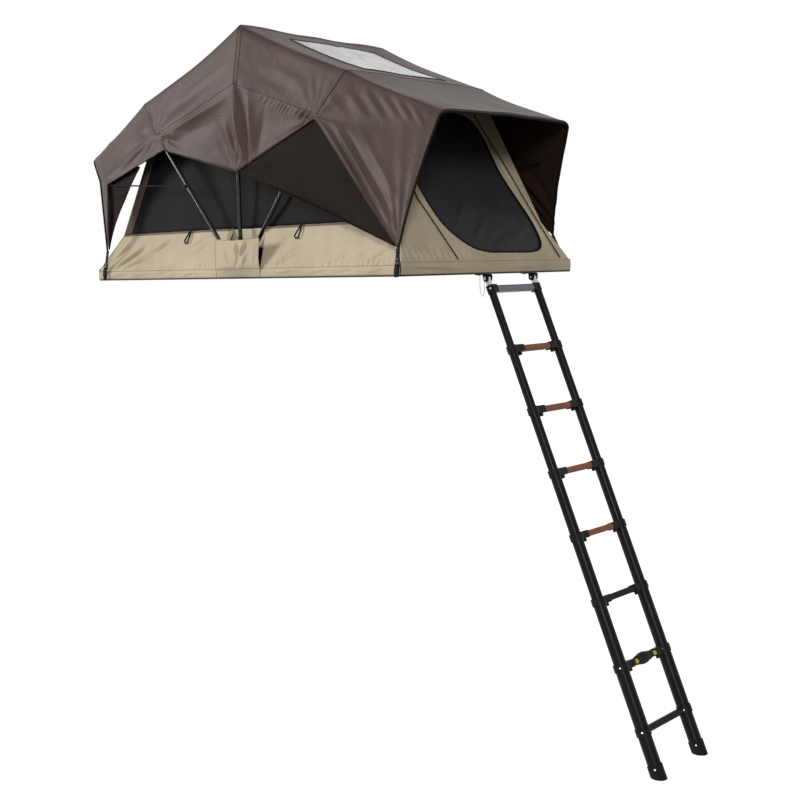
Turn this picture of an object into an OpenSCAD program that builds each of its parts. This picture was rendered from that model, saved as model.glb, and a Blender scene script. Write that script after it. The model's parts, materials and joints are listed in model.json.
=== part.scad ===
// Fold-out roof top tent: two hinged floor halves, a fan of three bows, an inner tent,
// a fly sheet with awnings and a telescopic ladder. Millimetres, +X towards the ladder, +Z up.
// The origin is the centre of the roof fixing pattern, under the floor half that stays on the car.

/* [Floor] */
// Length of one floor half
half_l = 1140; // [1100:5:1200]
// Width of the floor
base_w = 1250; // [1100:5:1400]
// Thickness of the floor boards and their edge rails
floor_t = 30; // [26:1:34]
// Width of the edge rails
rail_w = 20; // [14:1:24]
// Gap between the two floor halves at the fold
fold_gap = 4; // [2:0.5:8]
// Height of the fold axis above the underside of the floor
axis_z = 110; // [106:1:116]
// Thickness of the mattress
mat_t = 50; // [30:1:52]
// How far the mattress stays in from the long edges of the floor
mat_in = 120; // [119:1:200]
// Length of one mattress half
mat_l = 1060; // [900:5:1066]
// Distance between the roof fixing inserts along the tent
fix_x = 700; // [500:10:800]
// Distance between the roof fixing inserts across the tent
fix_y = 900; // [600:10:1000]
// Radius of the fixing hole in an insert
fix_r = 4; // [3:0.5:5]
// Depth of the fixing hole
fix_depth = 22; // [12:1:22]

/* [Bows] */
// Outer radius of the bow tube
tube_r = 10; // [8:0.5:10]
// Wall of the bow tube
tube_wall = 1.2; // [1:0.1:2]
// Bend radius at the corners of a bow
bend_r = 45; // [30:1:60]
// How far the legs of the bow over the car stand in from the edge of the floor
car_leg_in = 46; // [43:1:48]
// How far the legs of the middle bow stand in from the edge of the floor
mid_leg_in = 70; // [68:1:72]
// How far the legs of the bow over the ladder half stand in from the edge of the floor
lad_leg_in = 94; // [92:1:95]
// Rise of the car-side bow above the floor, in degrees
car_bow_rise = 49.5; // [47:0.5:52]
// Rise of the ladder-side bow above the floor, in degrees
lad_bow_rise = 51; // [48:0.5:53]
// Length of the car-side bow from its foot to its crest
car_bow_l = 1105; // [1090:1:1115]
// Length of the middle bow
mid_bow_l = 1097; // [1085:1:1105]
// Length of the ladder-side bow
lad_bow_l = 1065; // [1050:1:1072]
// Height along the car-side bow where its legs start to lean in
car_shoulder = 871; // [840:1:890]
// Height along the middle bow where its legs start to lean in
mid_shoulder = 826; // [800:1:850]
// Height along the ladder-side bow where its legs start to lean in
lad_shoulder = 832; // [800:1:850]
// How far the car-side bow stands off the fold axis
car_bow_off = 49; // [46:1:52]
// How far the ladder-side bow stands off the fold axis
lad_bow_off = 34; // [32:1:38]
// How far a bow leans in from its shoulder to its crest
bow_lean = 46; // [36:1:52]

/* [Hinge] */
// Radius of the hinge pin
pin_r = 6; // [5:0.5:7]
// Thickness of the hinge plates
plate_t = 5; // [4:0.5:6]
// Radius of the eye of a hinge plate
eye_r = 16; // [14:0.5:18]
// Start of a leg socket, measured from the foot of the bow
socket_s = 45; // [42:1:55]
// Depth of a leg socket
socket_l = 50; // [40:1:60]

/* [Awning rods] */
// Radius of an awning rod
rod_r = 4; // [3:0.5:5]
// Length of an awning rod
rod_l = 690; // [600:5:700]
// Height along a bow of the rivet that carries the rod
rod_at = 520; // [480:5:560]
// Slope of the rods at rest, in degrees
rod_rise = 3.7; // [2:0.1:6]

/* [Ladder] */
// Distance between ladder rungs
rung_pitch = 300; // [280:1:310]
// Half the distance between the ladder stiles
stile_y = 176; // [170:1:220]
// Offset of the ladder from the middle of the tent
ladder_y = 145; // [100:1:200]
// Lean of the ladder from the vertical, in degrees
lean = 22.9; // [15:0.1:28]
// Outer radius of the thinnest stile tube
stile_r = 18; // [16:0.5:20]
// Wall of a stile tube
stile_wall = 1.8; // [1.6:0.1:2]
// Length of tube that stays inside the next section
stile_overlap = 60; // [40:1:80]
// Distance from the ladder hanger pin to the top bar
hanger_drop = 54; // [52:1:60]
// Depth of a rung, square to the ladder
rung_d = 32; // [26:1:36]
// Height of a rung, along the ladder
rung_h = 28; // [24:1:30]
// Length of stile below the lowest rung
foot_drop = 188; // [180:1:240]
// Radius of the ladder hanger pin
hanger_r = 4; // [3:0.5:5]

/* [Cloth] */
// Thickness of the tent fabric
cloth_t = 3; // [2:0.5:4]
// Height of the lower wall above the underside of the floor
skirt_h = 245; // [220:1:270]
// Reach of the awning over the car end, past the floor
car_awning = 245; // [200:5:300]
// Reach of the awning over the ladder end, past the floor
lad_awning = 105; // [60:5:150]
// Height of the awning edges
awning_z = 694; // [660:1:720]
// How far the corners of an awning edge stand in from the edge of the floor
awning_in = 156; // [125:1:185]
// Drop of the hem along an awning edge
lip = 30; // [20:1:50]
// Height of the fly where it is tied to the middle bow
tie_z = 521; // [480:1:560]
// Width of the skylight in the fly
sky_w = 520; // [400:10:600]

/* [Hidden] */
$fn = 48;

// Clearances that every fit shares
fit = 0.05;
seat = 0.3;
run = 0.3;
part_gap = 0.4;

// Colours
black = "#1b1b1d";
steel = "#b9bcc0";
grey_alu = "#6d6a72";
beige = "#c1b398";
brown = "#655853";
mesh_dark = "#2c2c30";
rung_brown = "#9b5a48";
yellow = "#c6c132";
foam = "#d8d4c8";
board_grey = "#8d8f92";
film = "#e6ecef";

// Places that several pieces share
half_w = base_w / 2;
car_leg_y = half_w - car_leg_in;
mid_leg_y = half_w - mid_leg_in;
lad_leg_y = half_w - lad_leg_in;
mat_w = base_w - 2 * mat_in;
awning_y = half_w - awning_in;
hinge_x = half_l / 2;
mat_gap = 15;
stile_ys = [ladder_y - stile_y, ladder_y + stile_y];

module at_hinge() {
    translate([hinge_x, 0, 0]) children();
}

// The same thing on the near side and, mirrored, on the far side
module both_sides() {
    children();
    mirror([0, 1, 0]) children();
}

// One floor half on the ladder side of the fold; the car half is its mirror image
module floor_board_shape() {
    translate([fold_gap / 2, -half_w + rail_w + seat, 0])
        cube([half_l - fold_gap / 2 - rail_w - seat, base_w - 2 * rail_w - 2 * seat, floor_t]);
}

module floor_rails_shape() {
    both_sides()
        translate([fold_gap / 2, -half_w, 0])
            cube([half_l - fold_gap / 2 - rail_w - seat, rail_w, floor_t]);
    translate([half_l - rail_w, -half_w, 0]) cube([rail_w, base_w, floor_t]);
}

// Foam half with a crowned top, drawn-in sides and rows of sewn channels
mat_channels = 6;
mat_steps = 24;
mat_rows = 8;
channel_dip = 5;
side_draw = 8;
function crown(u) = pow(max(0, sin(180 * u)), 0.35);
function mat_top(u, v) =
    mat_t - channel_dip * (1 - pow(abs(sin(180 * mat_channels * u)), 0.6))
    - channel_dip * (1 - crown(v));
function mat_edge(v) = side_draw * (1 - crown(v)) - side_draw;
mat_grid = [
    for (i = [0:mat_steps])
        let (u = i / mat_steps)
        [
            for (j = [0:mat_rows])
                let (v = j / mat_rows)
                [
                    mat_gap + mat_l * u,
                    (v - 0.5) * (mat_w + 2 * mat_edge(u) * (abs(v - 0.5) > 0.45 ? 1 : 0)),
                    floor_t + mat_top(u, v)
                ]
        ]
];
module mattress_shape() {
    slab(mat_grid, floor_t + seat);
}

// A closed solid between a grid of points and a flat underside at height z0
module slab(g, z0) {
    n = len(g);
    m = len(g[0]);
    top = [for (row = g) for (p = row) p];
    under = [for (row = g) for (p = row) [p[0], p[1], z0]];
    polyhedron(concat(top, under), shell_faces(n, m));
}

// A closed sheet of thickness t on the inner side of a grid of points
function at(g, i, j) = g[max(0, min(len(g) - 1, i))][max(0, min(len(g[0]) - 1, j))];
function unit(v) = v / max(1e-9, norm(v));
function grid_normal(g, i, j) =
    unit(cross(at(g, i + 1, j) - at(g, i - 1, j), at(g, i, j + 1) - at(g, i, j - 1)));
module sheet(g, t) {
    n = len(g);
    m = len(g[0]);
    outer = [for (row = g) for (p = row) p];
    inner = [
        for (i = [0:n - 1])
            for (j = [0:m - 1])
                g[i][j] - t * grid_normal(g, i, j)
    ];
    polyhedron(concat(outer, inner), shell_faces(n, m));
}

// Triangles of a two-sided grid shell with a closed rim
function quad(a, b, c, d) = [[a, c, b], [a, d, c]];
function shell_faces(n, m) =
    let (k = n * m)
    [
        for (i = [0:n - 2])
            for (j = [0:m - 2])
                let (a = i * m + j)
                each concat(
                    quad(a, a + m, a + m + 1, a + 1),
                    quad(k + a + 1, k + a + m + 1, k + a + m, k + a)
                ),
        for (i = [0:n - 2])
            let (a = i * m, b = i * m + m - 1)
            each concat(quad(a, k + a, k + a + m, a + m), quad(b + m, k + b + m, k + b, b)),
        for (j = [0:m - 2])
            let (a = j, b = (n - 1) * m + j)
            each concat(quad(a + 1, k + a + 1, k + a, a), quad(b, k + b, k + b + 1, b + 1))
    ];

// Bows. Each is a U in a plane through a line beside the fold axis.
// A bow is [angle, stand-off, leg y, shoulder, crest length].
CAR = [180 - car_bow_rise, -car_bow_off, car_leg_y, car_shoulder, car_bow_l];
MID = [90, 0, mid_leg_y, mid_shoulder, mid_bow_l];
LAD = [lad_bow_rise, lad_bow_off, lad_leg_y, lad_shoulder, lad_bow_l];

// A point at length s along a bow and distance y from the middle, off the bow's line by d
function bow_point(b, s, y, d = 0) = [
    s * cos(b[0]) + (b[1] + d) * sin(b[0]),
    y,
    axis_z + s * sin(b[0]) - (b[1] + d) * cos(b[0])
];

module bow_frame(b) {
    translate([0, 0, axis_z]) rotate([0, -b[0], 0]) translate([0, 0, -b[1]]) children();
}

module tube_ring() {
    difference() {
        circle(r = tube_r);
        circle(r = tube_r - tube_wall);
    }
}

module bow_tubes(b) {
    crest_y = b[2] - bow_lean;
    tilt = atan2(bow_lean, b[4] - b[3]);
    turn = 90 - tilt;
    setback = bend_r * tan(turn / 2);
    upper = norm([bow_lean, b[4] - b[3]]) - setback - 3 * part_gap;
    bow_frame(b) {
        both_sides() {
            translate([socket_s + plate_t + part_gap, b[2], 0])
                rotate([0, 90, 0])
                    linear_extrude(b[3] - socket_s - plate_t - 4 * part_gap) tube_ring();
            translate([b[3], b[2], 0])
                rotate([0, 0, -tilt])
                    translate([2 * part_gap, 0, 0])
                        rotate([0, 90, 0]) linear_extrude(upper) tube_ring();
            translate([b[4] - bend_r, crest_y - setback, 0])
                rotate_extrude(angle = turn) translate([bend_r, 0]) tube_ring();
        }
        bar = 2 * (crest_y - setback - part_gap);
        translate([b[4], bar / 2, 0]) rotate([90, 0, 0]) linear_extrude(bar) tube_ring();
    }
}

// The foot of a bow leg: an eye on the hinge pin, an arm and a socket for the tube.
// side is 1 where the awning rod's rivet stands on the outside of the leg, -1 on the inside.
rivet_r = 2.5;
rivet_head_r = 5;
rivet_head_t = 2;
rod_eye_t = 2 * rod_r + 1;
rod_gap = 2;
socket_wall = 1.9;
arm_w = 22;
arm_end = 16;
module bow_fittings(b, side) {
    bow_frame(b) both_sides() {
        arm_x = socket_s + plate_t - 1;
        turn = atan2(b[1], arm_x);
        difference() {
            union() {
                translate([0, b[2] + plate_t / 2, b[1]]) rotate([90, 0, 0]) cylinder(r = eye_r, h = plate_t);
                translate([0, b[2] + plate_t / 2, 0])
                    rotate([90, 0, 0])
                        linear_extrude(plate_t)
                            polygon([
                                [arm_w / 2 * sin(turn), b[1] + arm_w / 2 * cos(turn)],
                                [-arm_w / 2 * sin(turn), b[1] - arm_w / 2 * cos(turn)],
                                [arm_x, -arm_end / 2], [arm_x, arm_end / 2]
                            ]);
                translate([socket_s, b[2], 0])
                    rotate([0, 90, 0]) cylinder(r = tube_r + socket_wall, h = socket_l);
            }
            translate([0, b[2] + plate_t, b[1]])
                rotate([90, 0, 0]) cylinder(r = pin_r + fit, h = 2 * plate_t);
            translate([socket_s + plate_t, b[2], 0])
                rotate([0, 90, 0]) cylinder(r = tube_r + fit, h = socket_l);
        }
        if (side != 0)
            translate([rod_at, b[2] + side * (tube_r + seat), 0])
                rotate([-90 * side, 0, 0]) {
                    cylinder(r = rivet_r, h = 2 * rod_gap + rod_eye_t);
                    translate([0, 0, 2 * rod_gap + rod_eye_t - rod_gap / 2])
                        cylinder(r = rivet_head_r, h = rivet_head_t);
                }
    }
}

// Awning rods, each with an eye on its rivet and a cap on its tip
rod_eye_r = 7;
rod_cap = 1;
rod_cap_l = 18;
function rod_y(b, side) = b[2] + side * (tube_r + seat + rod_gap / 2 + rod_eye_t / 2);
module awning_rods(b, side, dir) {
    p = bow_point(b, rod_at, rod_y(b, side));
    both_sides()
        translate(p)
            rotate([0, dir > 0 ? -rod_rise : 180 + rod_rise, 0]) {
                difference() {
                    union() {
                        translate([0, rod_eye_t / 2, 0])
                            rotate([90, 0, 0]) cylinder(r = rod_eye_r, h = rod_eye_t);
                        translate([rivet_r + 1.5, 0, 0])
                            rotate([0, 90, 0]) cylinder(r = rod_r, h = rod_l);
                        translate([rod_l - rod_cap_l, 0, 0])
                            rotate([0, 90, 0]) cylinder(r = rod_r + rod_cap, h = rod_cap_l + rod_r);
                    }
                    translate([0, rod_eye_t, 0])
                        rotate([90, 0, 0]) cylinder(r = rivet_r + fit, h = 2 * rod_eye_t);
                }
            }
}

// Hinge. Plates sit side by side on one pin at each long side of the floor.
bracket_l = 90;
flange_w = 26;
inner_plate_y = lad_leg_y - tube_r - socket_wall - seat - plate_t;
outer_plate_y = car_leg_y + tube_r + socket_wall + 2 * rod_gap + rod_r;
washer_t = 5;
washer_r = 11;
module hinge_plate(y, dir) {
    mirror([dir > 0 ? 0 : 1, 0, 0])
        difference() {
            union() {
                translate([0, y + plate_t, axis_z]) rotate([90, 0, 0]) cylinder(r = eye_r, h = plate_t);
                translate([fold_gap, y, floor_t + seat])
                    cube([bracket_l - fold_gap, plate_t, axis_z - floor_t - seat - eye_r / 2]);
                translate([0, y, axis_z - eye_r]) cube([bracket_l / 2, plate_t, eye_r * 1.5]);
                translate([fold_gap, y - (dir > 0 ? 0 : flange_w - plate_t), floor_t + seat])
                    cube([bracket_l - fold_gap, flange_w, plate_t]);
            }
            translate([0, y + 2 * plate_t, axis_z])
                rotate([90, 0, 0]) cylinder(r = pin_r + fit, h = 3 * plate_t);
        }
}
module hinge_pin() {
    y0 = inner_plate_y - seat - washer_t;
    y1 = outer_plate_y + plate_t + seat;
    translate([0, y0, axis_z]) rotate([-90, 0, 0]) cylinder(r = pin_r, h = y1 - y0 + washer_t);
    for (y = [y0, y1])
        translate([0, y, axis_z]) rotate([-90, 0, 0]) cylinder(r = washer_r, h = washer_t);
}

// Ladder, drawn upright with the top bar at the origin, then hung from its pin
pivot_x = half_l - 1;
pivot_z = -20.6;
module ladder_frame() {
    translate([pivot_x, ladder_y, pivot_z]) rotate([0, -lean, 0]) translate([0, 0, -hanger_drop]) children();
}
module both_stiles() {
    for (y = [-stile_y, stile_y]) translate([0, y, 0]) children();
}
sections = 7;
function tube_out(k) = stile_r + (k - 1) * (stile_wall + run);
function section_z(k) = -(k - 1) * rung_pitch;
foot_rung_z = section_z(sections) - rung_pitch + 15;
ladder_foot = foot_rung_z - foot_drop;
foot_h = 42;
foot_sole = 12;
collar_wall = 4;
collar_up = 17;
collar_down = 17;
// The collars' arms leave this much of a tread between them, half of it each way
tread_half = 102;
handle_half = 92;
function arm_l(k) = stile_y - tube_out(k) - collar_wall - (k == sections ? handle_half : tread_half);
tube_top = 4;

module tube(r, z0, z1) {
    translate([0, 0, z0])
        difference() {
            cylinder(r = r, h = z1 - z0);
            translate([0, 0, -1]) cylinder(r = r - stile_wall, h = z1 - z0 + 2);
        }
}
module stiles(k) {
    low = k == sections ? ladder_foot + foot_sole + seat : section_z(k + 1) - stile_overlap;
    both_stiles() tube(tube_out(k), low, section_z(k) + tube_top);
}

// Rung bar with eased edges
rung_ease = 6;
module rung_bar(d, h, length) {
    translate([0, length / 2, 0])
        rotate([90, 0, 0])
            linear_extrude(length)
                polygon([
                    [-d / 2 + rung_ease, -h / 2], [d / 2 - rung_ease, -h / 2],
                    [d / 2, -h / 2 + rung_ease], [d / 2, h / 2 - rung_ease],
                    [d / 2 - rung_ease, h / 2], [-d / 2 + rung_ease, h / 2],
                    [-d / 2, h / 2 - rung_ease], [-d / 2, -h / 2 + rung_ease]
                ]);
}
function rung_half(k) = stile_y - tube_out(k) - collar_wall - seat;
arm_wall = 3;
lug_l = 14;

// A moulded collar round the tube of section k, with an arm that holds the rung end.
// Below its step it grips tube k; above it tube k - 1 runs through.
module collar(k, inward) {
    r = tube_out(k);
    arm = arm_l(k);
    reach = r + collar_wall + arm;
    difference() {
        union() {
            translate([0, 0, -collar_down]) cylinder(r = r + collar_wall, h = collar_up + collar_down);
            translate([-rung_d / 2 - arm_wall, inward > 0 ? 0 : -reach, -rung_h / 2 - arm_wall])
                cube([rung_d + 2 * arm_wall, reach, rung_h + 2 * arm_wall]);
            translate([-lug_l / 2, inward * (reach - arm / 2) - lug_l / 2, -rung_h / 2 - arm_wall - lug_l])
                cube([lug_l, lug_l, lug_l + 1]);
        }
        translate([0, 0, -collar_down - 1]) cylinder(r = r + fit, h = collar_down + 1 + tube_top + seat);
        cylinder(r = tube_out(k - 1) + run, h = collar_up + 1);
        translate([-rung_d / 2 - seat, inward > 0 ? reach - arm : -reach - 1, -rung_h / 2 - seat])
            cube([rung_d + 2 * seat, arm + 1, rung_h + 2 * seat]);
    }
}
module collars(k) {
    translate([0, 0, section_z(k)]) {
        translate([0, -stile_y, 0]) collar(k, 1);
        translate([0, stile_y, 0]) collar(k, -1);
    }
}
module rung(k) {
    translate([0, 0, section_z(k)]) rung_bar(rung_d, rung_h, 2 * rung_half(k));
}

// Hanger brackets under the end rail
ear_gap = 22;
ear_t = 5;
ear_r = 16;
link_w = ear_gap - 2 * seat;
bracket_plate_t = 4;
bracket_plate_l = 54;
bracket_plate_w = 58;
bolt_r = 3;
bolt_x = half_l - bracket_plate_l + 16;
bolt_y = bracket_plate_w / 2 - 10;
module hanger_bracket() {
    difference() {
        union() {
            translate([half_l - bracket_plate_l, -bracket_plate_w / 2, -bracket_plate_t - seat])
                cube([bracket_plate_l, bracket_plate_w, bracket_plate_t]);
            for (y = [-ear_gap / 2 - ear_t, ear_gap / 2]) {
                translate([pivot_x, y + ear_t, pivot_z]) rotate([90, 0, 0]) cylinder(r = ear_r, h = ear_t);
                translate([pivot_x - ear_r, y, pivot_z])
                    cube([2 * ear_r, ear_t, -pivot_z - bracket_plate_t / 2 - seat]);
            }
        }
        translate([pivot_x, bracket_plate_w, pivot_z])
            rotate([90, 0, 0]) cylinder(r = hanger_r + fit, h = 2 * bracket_plate_w);
        for (y = [-1, 1])
            translate([bolt_x, y * bolt_y, -bracket_plate_t - 1])
                cylinder(r = bolt_r + fit, h = bracket_plate_t + 1);
    }
}
pin_head_r = 8;
pin_head_t = 6;
module ladder_pin(side) {
    y0 = ear_gap / 2 + ear_t + seat;
    translate([pivot_x, ladder_y + side * stile_y, pivot_z])
        rotate([side > 0 ? -90 : 90, 0, 0]) {
            translate([0, 0, -y0 - pin_head_t / 2]) cylinder(r = hanger_r, h = 2 * y0 + pin_head_t);
            translate([0, 0, y0]) cylinder(r = pin_head_r, h = pin_head_t);
        }
}

// Wire lanyards: a loop from the bracket to the head of each pin
wire_r = 1.2;
wire_sides = 8;
lanyard_route = [
    [-24, -25, -5.9], [-23.6, -25.4, -9], [-23, -27, -16], [-21.5, -30, -30], [-19.5, -33, -48],
    [-17, -35, -66], [-14, -36, -82], [-10, -36.2, -94], [-5, -36, -101], [0, -35.6, -101], [4, -35, -95],
    [6, -34, -84], [7, -33, -70], [6.6, -32, -55], [5.5, -30.4, -42], [4, -28.4, -32], [2.4, -26.2, -25],
    [1, -24.4, -21.6], [0, -23.8, -19.4]
];
function wire_dir(p, i) = unit(p[min(len(p) - 1, i + 1)] - p[max(0, i - 1)]);
function wire_side(d) = unit(cross(d, [1, 0, 0.3]));
module wire(p) {
    n = len(p);
    rings = [
        for (i = [0:n - 1])
            let (d = wire_dir(p, i), a = wire_side(d), b = cross(d, a))
            for (k = [0:wire_sides - 1])
                p[i] + wire_r * (cos(360 * k / wire_sides) * a + sin(360 * k / wire_sides) * b)
    ];
    sides = [
        for (i = [0:n - 2])
            for (k = [0:wire_sides - 1])
                let (a = i * wire_sides + k, b = i * wire_sides + (k + 1) % wire_sides)
                each quad(a, b, b + wire_sides, a + wire_sides)
    ];
    ends = [
        for (k = [1:wire_sides - 2])
            let (last = (n - 1) * wire_sides)
            each [[0, k, k + 1], [last, last + k + 1, last + k]]
    ];
    polyhedron(rings, concat(sides, ends));
}

// Fly sheet. A station is one line across the fly: hem, shoulder, crest, middle and the same beyond.
// The fly stands off a bow so far that its inner face clears the tube on the panels beside it.
side_off = tube_r + cloth_t + 1;
roof_sag = 14;
function crest(b) = bow_point(b, b[4], 0);
function panel_turn(b, to) =
    let (d = to - crest(b))
    abs(acos((d[0] * cos(b[0]) + d[2] * sin(b[0])) / norm(d)) - 90) + atan(4 * roof_sag / norm(d));
function crest_off(b, beside) =
    cloth_t + (tube_r + seat) / cos(max([for (p = beside) panel_turn(b, p)]));
function fly_bow(b, hem, beside) =
    let (off = crest_off(b, beside), crest_y = b[2] - bow_lean + side_off)
    [
        hem,
        bow_point(b, b[3] + off / 3, -b[2] - side_off),
        bow_point(b, b[4] + off, -crest_y),
        bow_point(b, b[4] + off, 0)
    ];
rod_reach_y = rod_y(CAR, 1) + rod_r + cloth_t + 2;
car_edge_x = -half_l - car_awning;
lad_edge_x = half_l + lad_awning;
flap_y = half_w + 3 * cloth_t;
tie = [0, -mid_leg_y - side_off, tie_z];
hem_drop = 95;
car_flap_in = 104;
lad_flap_in = 4;
car_flap_z = 160;
lad_flap_z = 122;
kink_at = 0.19;
lad_lift = 9;
car_hem = bow_point(CAR, car_shoulder - hem_drop, -rod_reach_y + 4);
rod_tip =
    bow_point(CAR, rod_at, -rod_reach_y) + [-(rod_l - 10) * cos(rod_rise), 0, rod_l * sin(rod_rise) + 5];
car_flap = [-half_l + car_flap_in, -flap_y, car_flap_z];
lad_flap = [half_l - lad_flap_in, -flap_y, lad_flap_z];
car_kink = rod_tip + [-62, -2, 18];
lad_corner = [lad_edge_x, -awning_y, awning_z + lad_lift];
lad_kink = lad_corner + (lad_flap - lad_corner) * kink_at;

car_edge_mid = [car_edge_x, 0, awning_z + 6];
lad_edge_mid = [lad_edge_x, 0, awning_z + lad_lift + 3];
lad_hem = bow_point(LAD, lad_shoulder - hem_drop / 10, -lad_leg_y - side_off);
car_bow_line = fly_bow(CAR, car_hem, [car_edge_mid, crest(MID)]);
mid_bow_line = fly_bow(MID, tie, [crest(CAR), crest(LAD)]);
lad_bow_line = fly_bow(LAD, lad_hem, [crest(MID), lad_edge_mid]);
car_edge = [car_flap, car_kink, [car_edge_x, -awning_y, awning_z], car_edge_mid];
car_lip = [for (p = car_edge) p[1] < -awning_y - 1 ? p + [-2, 0, -1] : p + [-6, 0, -lip]];
car_strip = [
    rod_tip, car_kink + [40, 0, 14],
    car_edge[2] + (car_bow_line[2] - car_edge[2]) * 0.12, car_edge[3] + (car_bow_line[3] - car_edge[3]) * 0.12
];
lad_edge = [lad_flap, lad_kink, lad_corner, lad_edge_mid];
lad_lip = [for (p = lad_edge) p[1] < -awning_y - 1 ? p + [2, 0, -1] : p + [6, 0, -lip]];

// A line between two stations at share t, sagging inwards by s
function lerp_line(a, b, t, s) = [
    for (k = [0:len(a) - 1])
        a[k] + (b[k] - a[k]) * t + 4 * t * (1 - t) * s * [0, k == 1 || k == 2 ? 0.5 : 0, k >= 2 ? -1 : 0]
];
sky_stations = [0.2, 0.42, 0.64, 0.88];
fly_lines = [
    car_lip, car_edge, car_strip,
    lerp_line(car_strip, car_bow_line, 0.35, roof_sag), lerp_line(car_strip, car_bow_line, 0.7, roof_sag),
    car_bow_line,
    for (t = [0.25, 0.5, 0.75]) lerp_line(car_bow_line, mid_bow_line, t, roof_sag),
    mid_bow_line,
    for (t = sky_stations) lerp_line(mid_bow_line, lad_bow_line, t, roof_sag),
    lad_bow_line,
    for (t = [0.33, 0.67]) lerp_line(lad_bow_line, lad_edge, t, roof_sag),
    lad_edge, lad_lip
];

// Each line gets points between its corners and its far half
fly_split = 3;
function fine(line) = [
    for (k = [0:len(line) - 2])
        for (i = [0:fly_split - 1])
            line[k] + (line[k + 1] - line[k]) * i / fly_split,
    line[len(line) - 1]
];
function across(line) =
    let (f = fine(line), n = len(f))
    concat(f, [for (i = [n - 2:-1:0]) [f[i][0], -f[i][1], f[i][2]]]);
fly_grid = [for (line = fly_lines) across(line)];

// The skylight lies on the roof panel between the middle bow and the ladder-side bow
sky_t = 1.5;
sky_grid = [
    for (t = sky_stations)
        let (p = lerp_line(mid_bow_line, lad_bow_line, t, roof_sag)[3] + [0, 0, 1.1 * sky_t + 2 * seat])
        [for (v = [-0.5, -0.17, 0.17, 0.5]) p + [0, v * sky_w * (1.05 - 0.2 * t), 0]]
];

// Inner tent
skirt_top_y = lad_leg_y - tube_r - 3 * cloth_t;
skirt_low_z = 12;
wall_y = half_w + cloth_t + seat;
cover_near = 130;
cover_far = 225;
skirt_cols = 12;
fold_depth = 5;
end_top_x = (crest(LAD)[0] - crest(CAR)[0]) / 2 - 2 * cloth_t;
end_top_z = 876;
end_low_z = 60;
ridge_z = axis_z + mid_bow_l - tube_r - 5 * cloth_t;
roof_half = lad_leg_y - bow_lean - tube_r - 8 * cloth_t;
end_low_x = half_l + seat;
function end_x(z) = end_low_x - (end_low_x - end_top_x) * (z - end_low_z) / (end_top_z - end_low_z);
skirt_rows = [skirt_low_z, floor_t + 6, 90, 140, 190, skirt_h];
function skirt_y(z) =
    z <= floor_t + 6 ? wall_y : wall_y - (wall_y - skirt_top_y) * (z - floor_t - 6) / (skirt_h - floor_t - 6);
function skirt_end(z) = z <= end_low_z ? half_l : end_x(z) - 18;
function ripple(i, z) =
    fold_depth * sin(i * 140 + z / 3) * sin(180 * (z - skirt_low_z) / (skirt_h - skirt_low_z));
function skirt_grid(low, high) = [
    for (i = [0:skirt_cols])
        [
            for (z = skirt_rows)
                let (x0 = low + (high - low) * (z - skirt_low_z) / (skirt_h - skirt_low_z))
                let (x = x0 + (skirt_end(z) - x0) * i / skirt_cols)
                [x, -skirt_y(z) - (i > 0 && i < skirt_cols ? abs(ripple(i, z)) : 0), z]
        ]
];
cover_rows = [skirt_low_z, floor_t, 60, 110, 155, 205];
cover_cols = 8;
cover_bulge = 24;
function cover_out(z) = min(1, (z - skirt_low_z) / (60 - skirt_low_z));
function cover_y(i, z) =
    half_w + cloth_t + seat
    + cover_out(z) * cover_bulge * pow(sin(180 * i / cover_cols), 0.5)
    + cover_out(z) * fold_depth * (1 + sin(i * 100 + z));
cover_grid = [
    for (i = [0:cover_cols])
        [
            for (z = cover_rows)
                [
                    -cover_near + (cover_near + cover_far) * i / cover_cols,
                    -cover_y(i, z),
                    z
                ]
        ]
];

// Side mesh: the outline of the wall above the skirt, leaning in
mesh_lean = atan2(skirt_top_y - roof_half, ridge_z - skirt_h);
function roof_z(x) = ridge_z - (ridge_z - end_top_z) * abs(x) / end_top_x;
function mesh_top(x) = (roof_z(x) - 1.1 * cloth_t - 2 * seat - skirt_h) / cos(mesh_lean);
function wall_in(z) = skirt_top_y - (z - skirt_h) * tan(mesh_lean);
module side_mesh_shape() {
    translate([0, -skirt_top_y, skirt_h + 2 * seat])
        rotate([-mesh_lean, 0, 0])
            rotate([90, 0, 0])
                linear_extrude(cloth_t)
                    polygon([
                        [-end_x(skirt_h) + 24, 0], [end_x(skirt_h) - 24, 0],
                        [end_top_x - 24, mesh_top(end_top_x - 24)], [0, mesh_top(0)],
                        [-end_top_x + 24, mesh_top(end_top_x - 24)]
                    ]);
}

// End wall in its own plane: across, then up the slope
slope_l = norm([end_low_x - end_top_x, end_top_z - end_low_z]);
slope_a = atan2(end_top_z - end_low_z, end_low_x - end_top_x);
end_low_half = half_w - 25;
end_mid_half = half_w - 173;
end_mid_up = 330;
door_w = 650;
door_up = 760;
door_low = 42;
door_corner = 190;
module end_frame() {
    translate([end_low_x, 0, end_low_z]) rotate([0, slope_a - 180, 0]) mirror([0, 0, 1]) children();
}
module end_outline() {
    polygon([
        [0, -end_low_half], [end_mid_up, -end_mid_half], [slope_l, -roof_half],
        [slope_l, roof_half], [end_mid_up, end_mid_half], [0, end_low_half]
    ]);
}
module door_outline(grow) {
    hull() {
        for (y = [-1, 1])
            translate([door_low + door_corner, y * (door_w / 2 - door_corner)])
                circle(r = door_corner + grow);
        translate([door_up - 90, 0]) circle(r = door_w / 3.2 + grow);
    }
}
module end_wall(door_y) {
    end_frame()
        linear_extrude(cloth_t)
            difference() {
                end_outline();
                translate([0, door_y]) door_outline(0);
            }
    translate([end_low_x, -half_w, skirt_low_z]) cube([cloth_t, base_w, end_low_z - skirt_low_z - seat]);
}
module end_mesh(door_y) {
    end_frame() linear_extrude(cloth_t / 2) translate([0, door_y]) door_outline(-seat);
}
door_y = 95;

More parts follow.
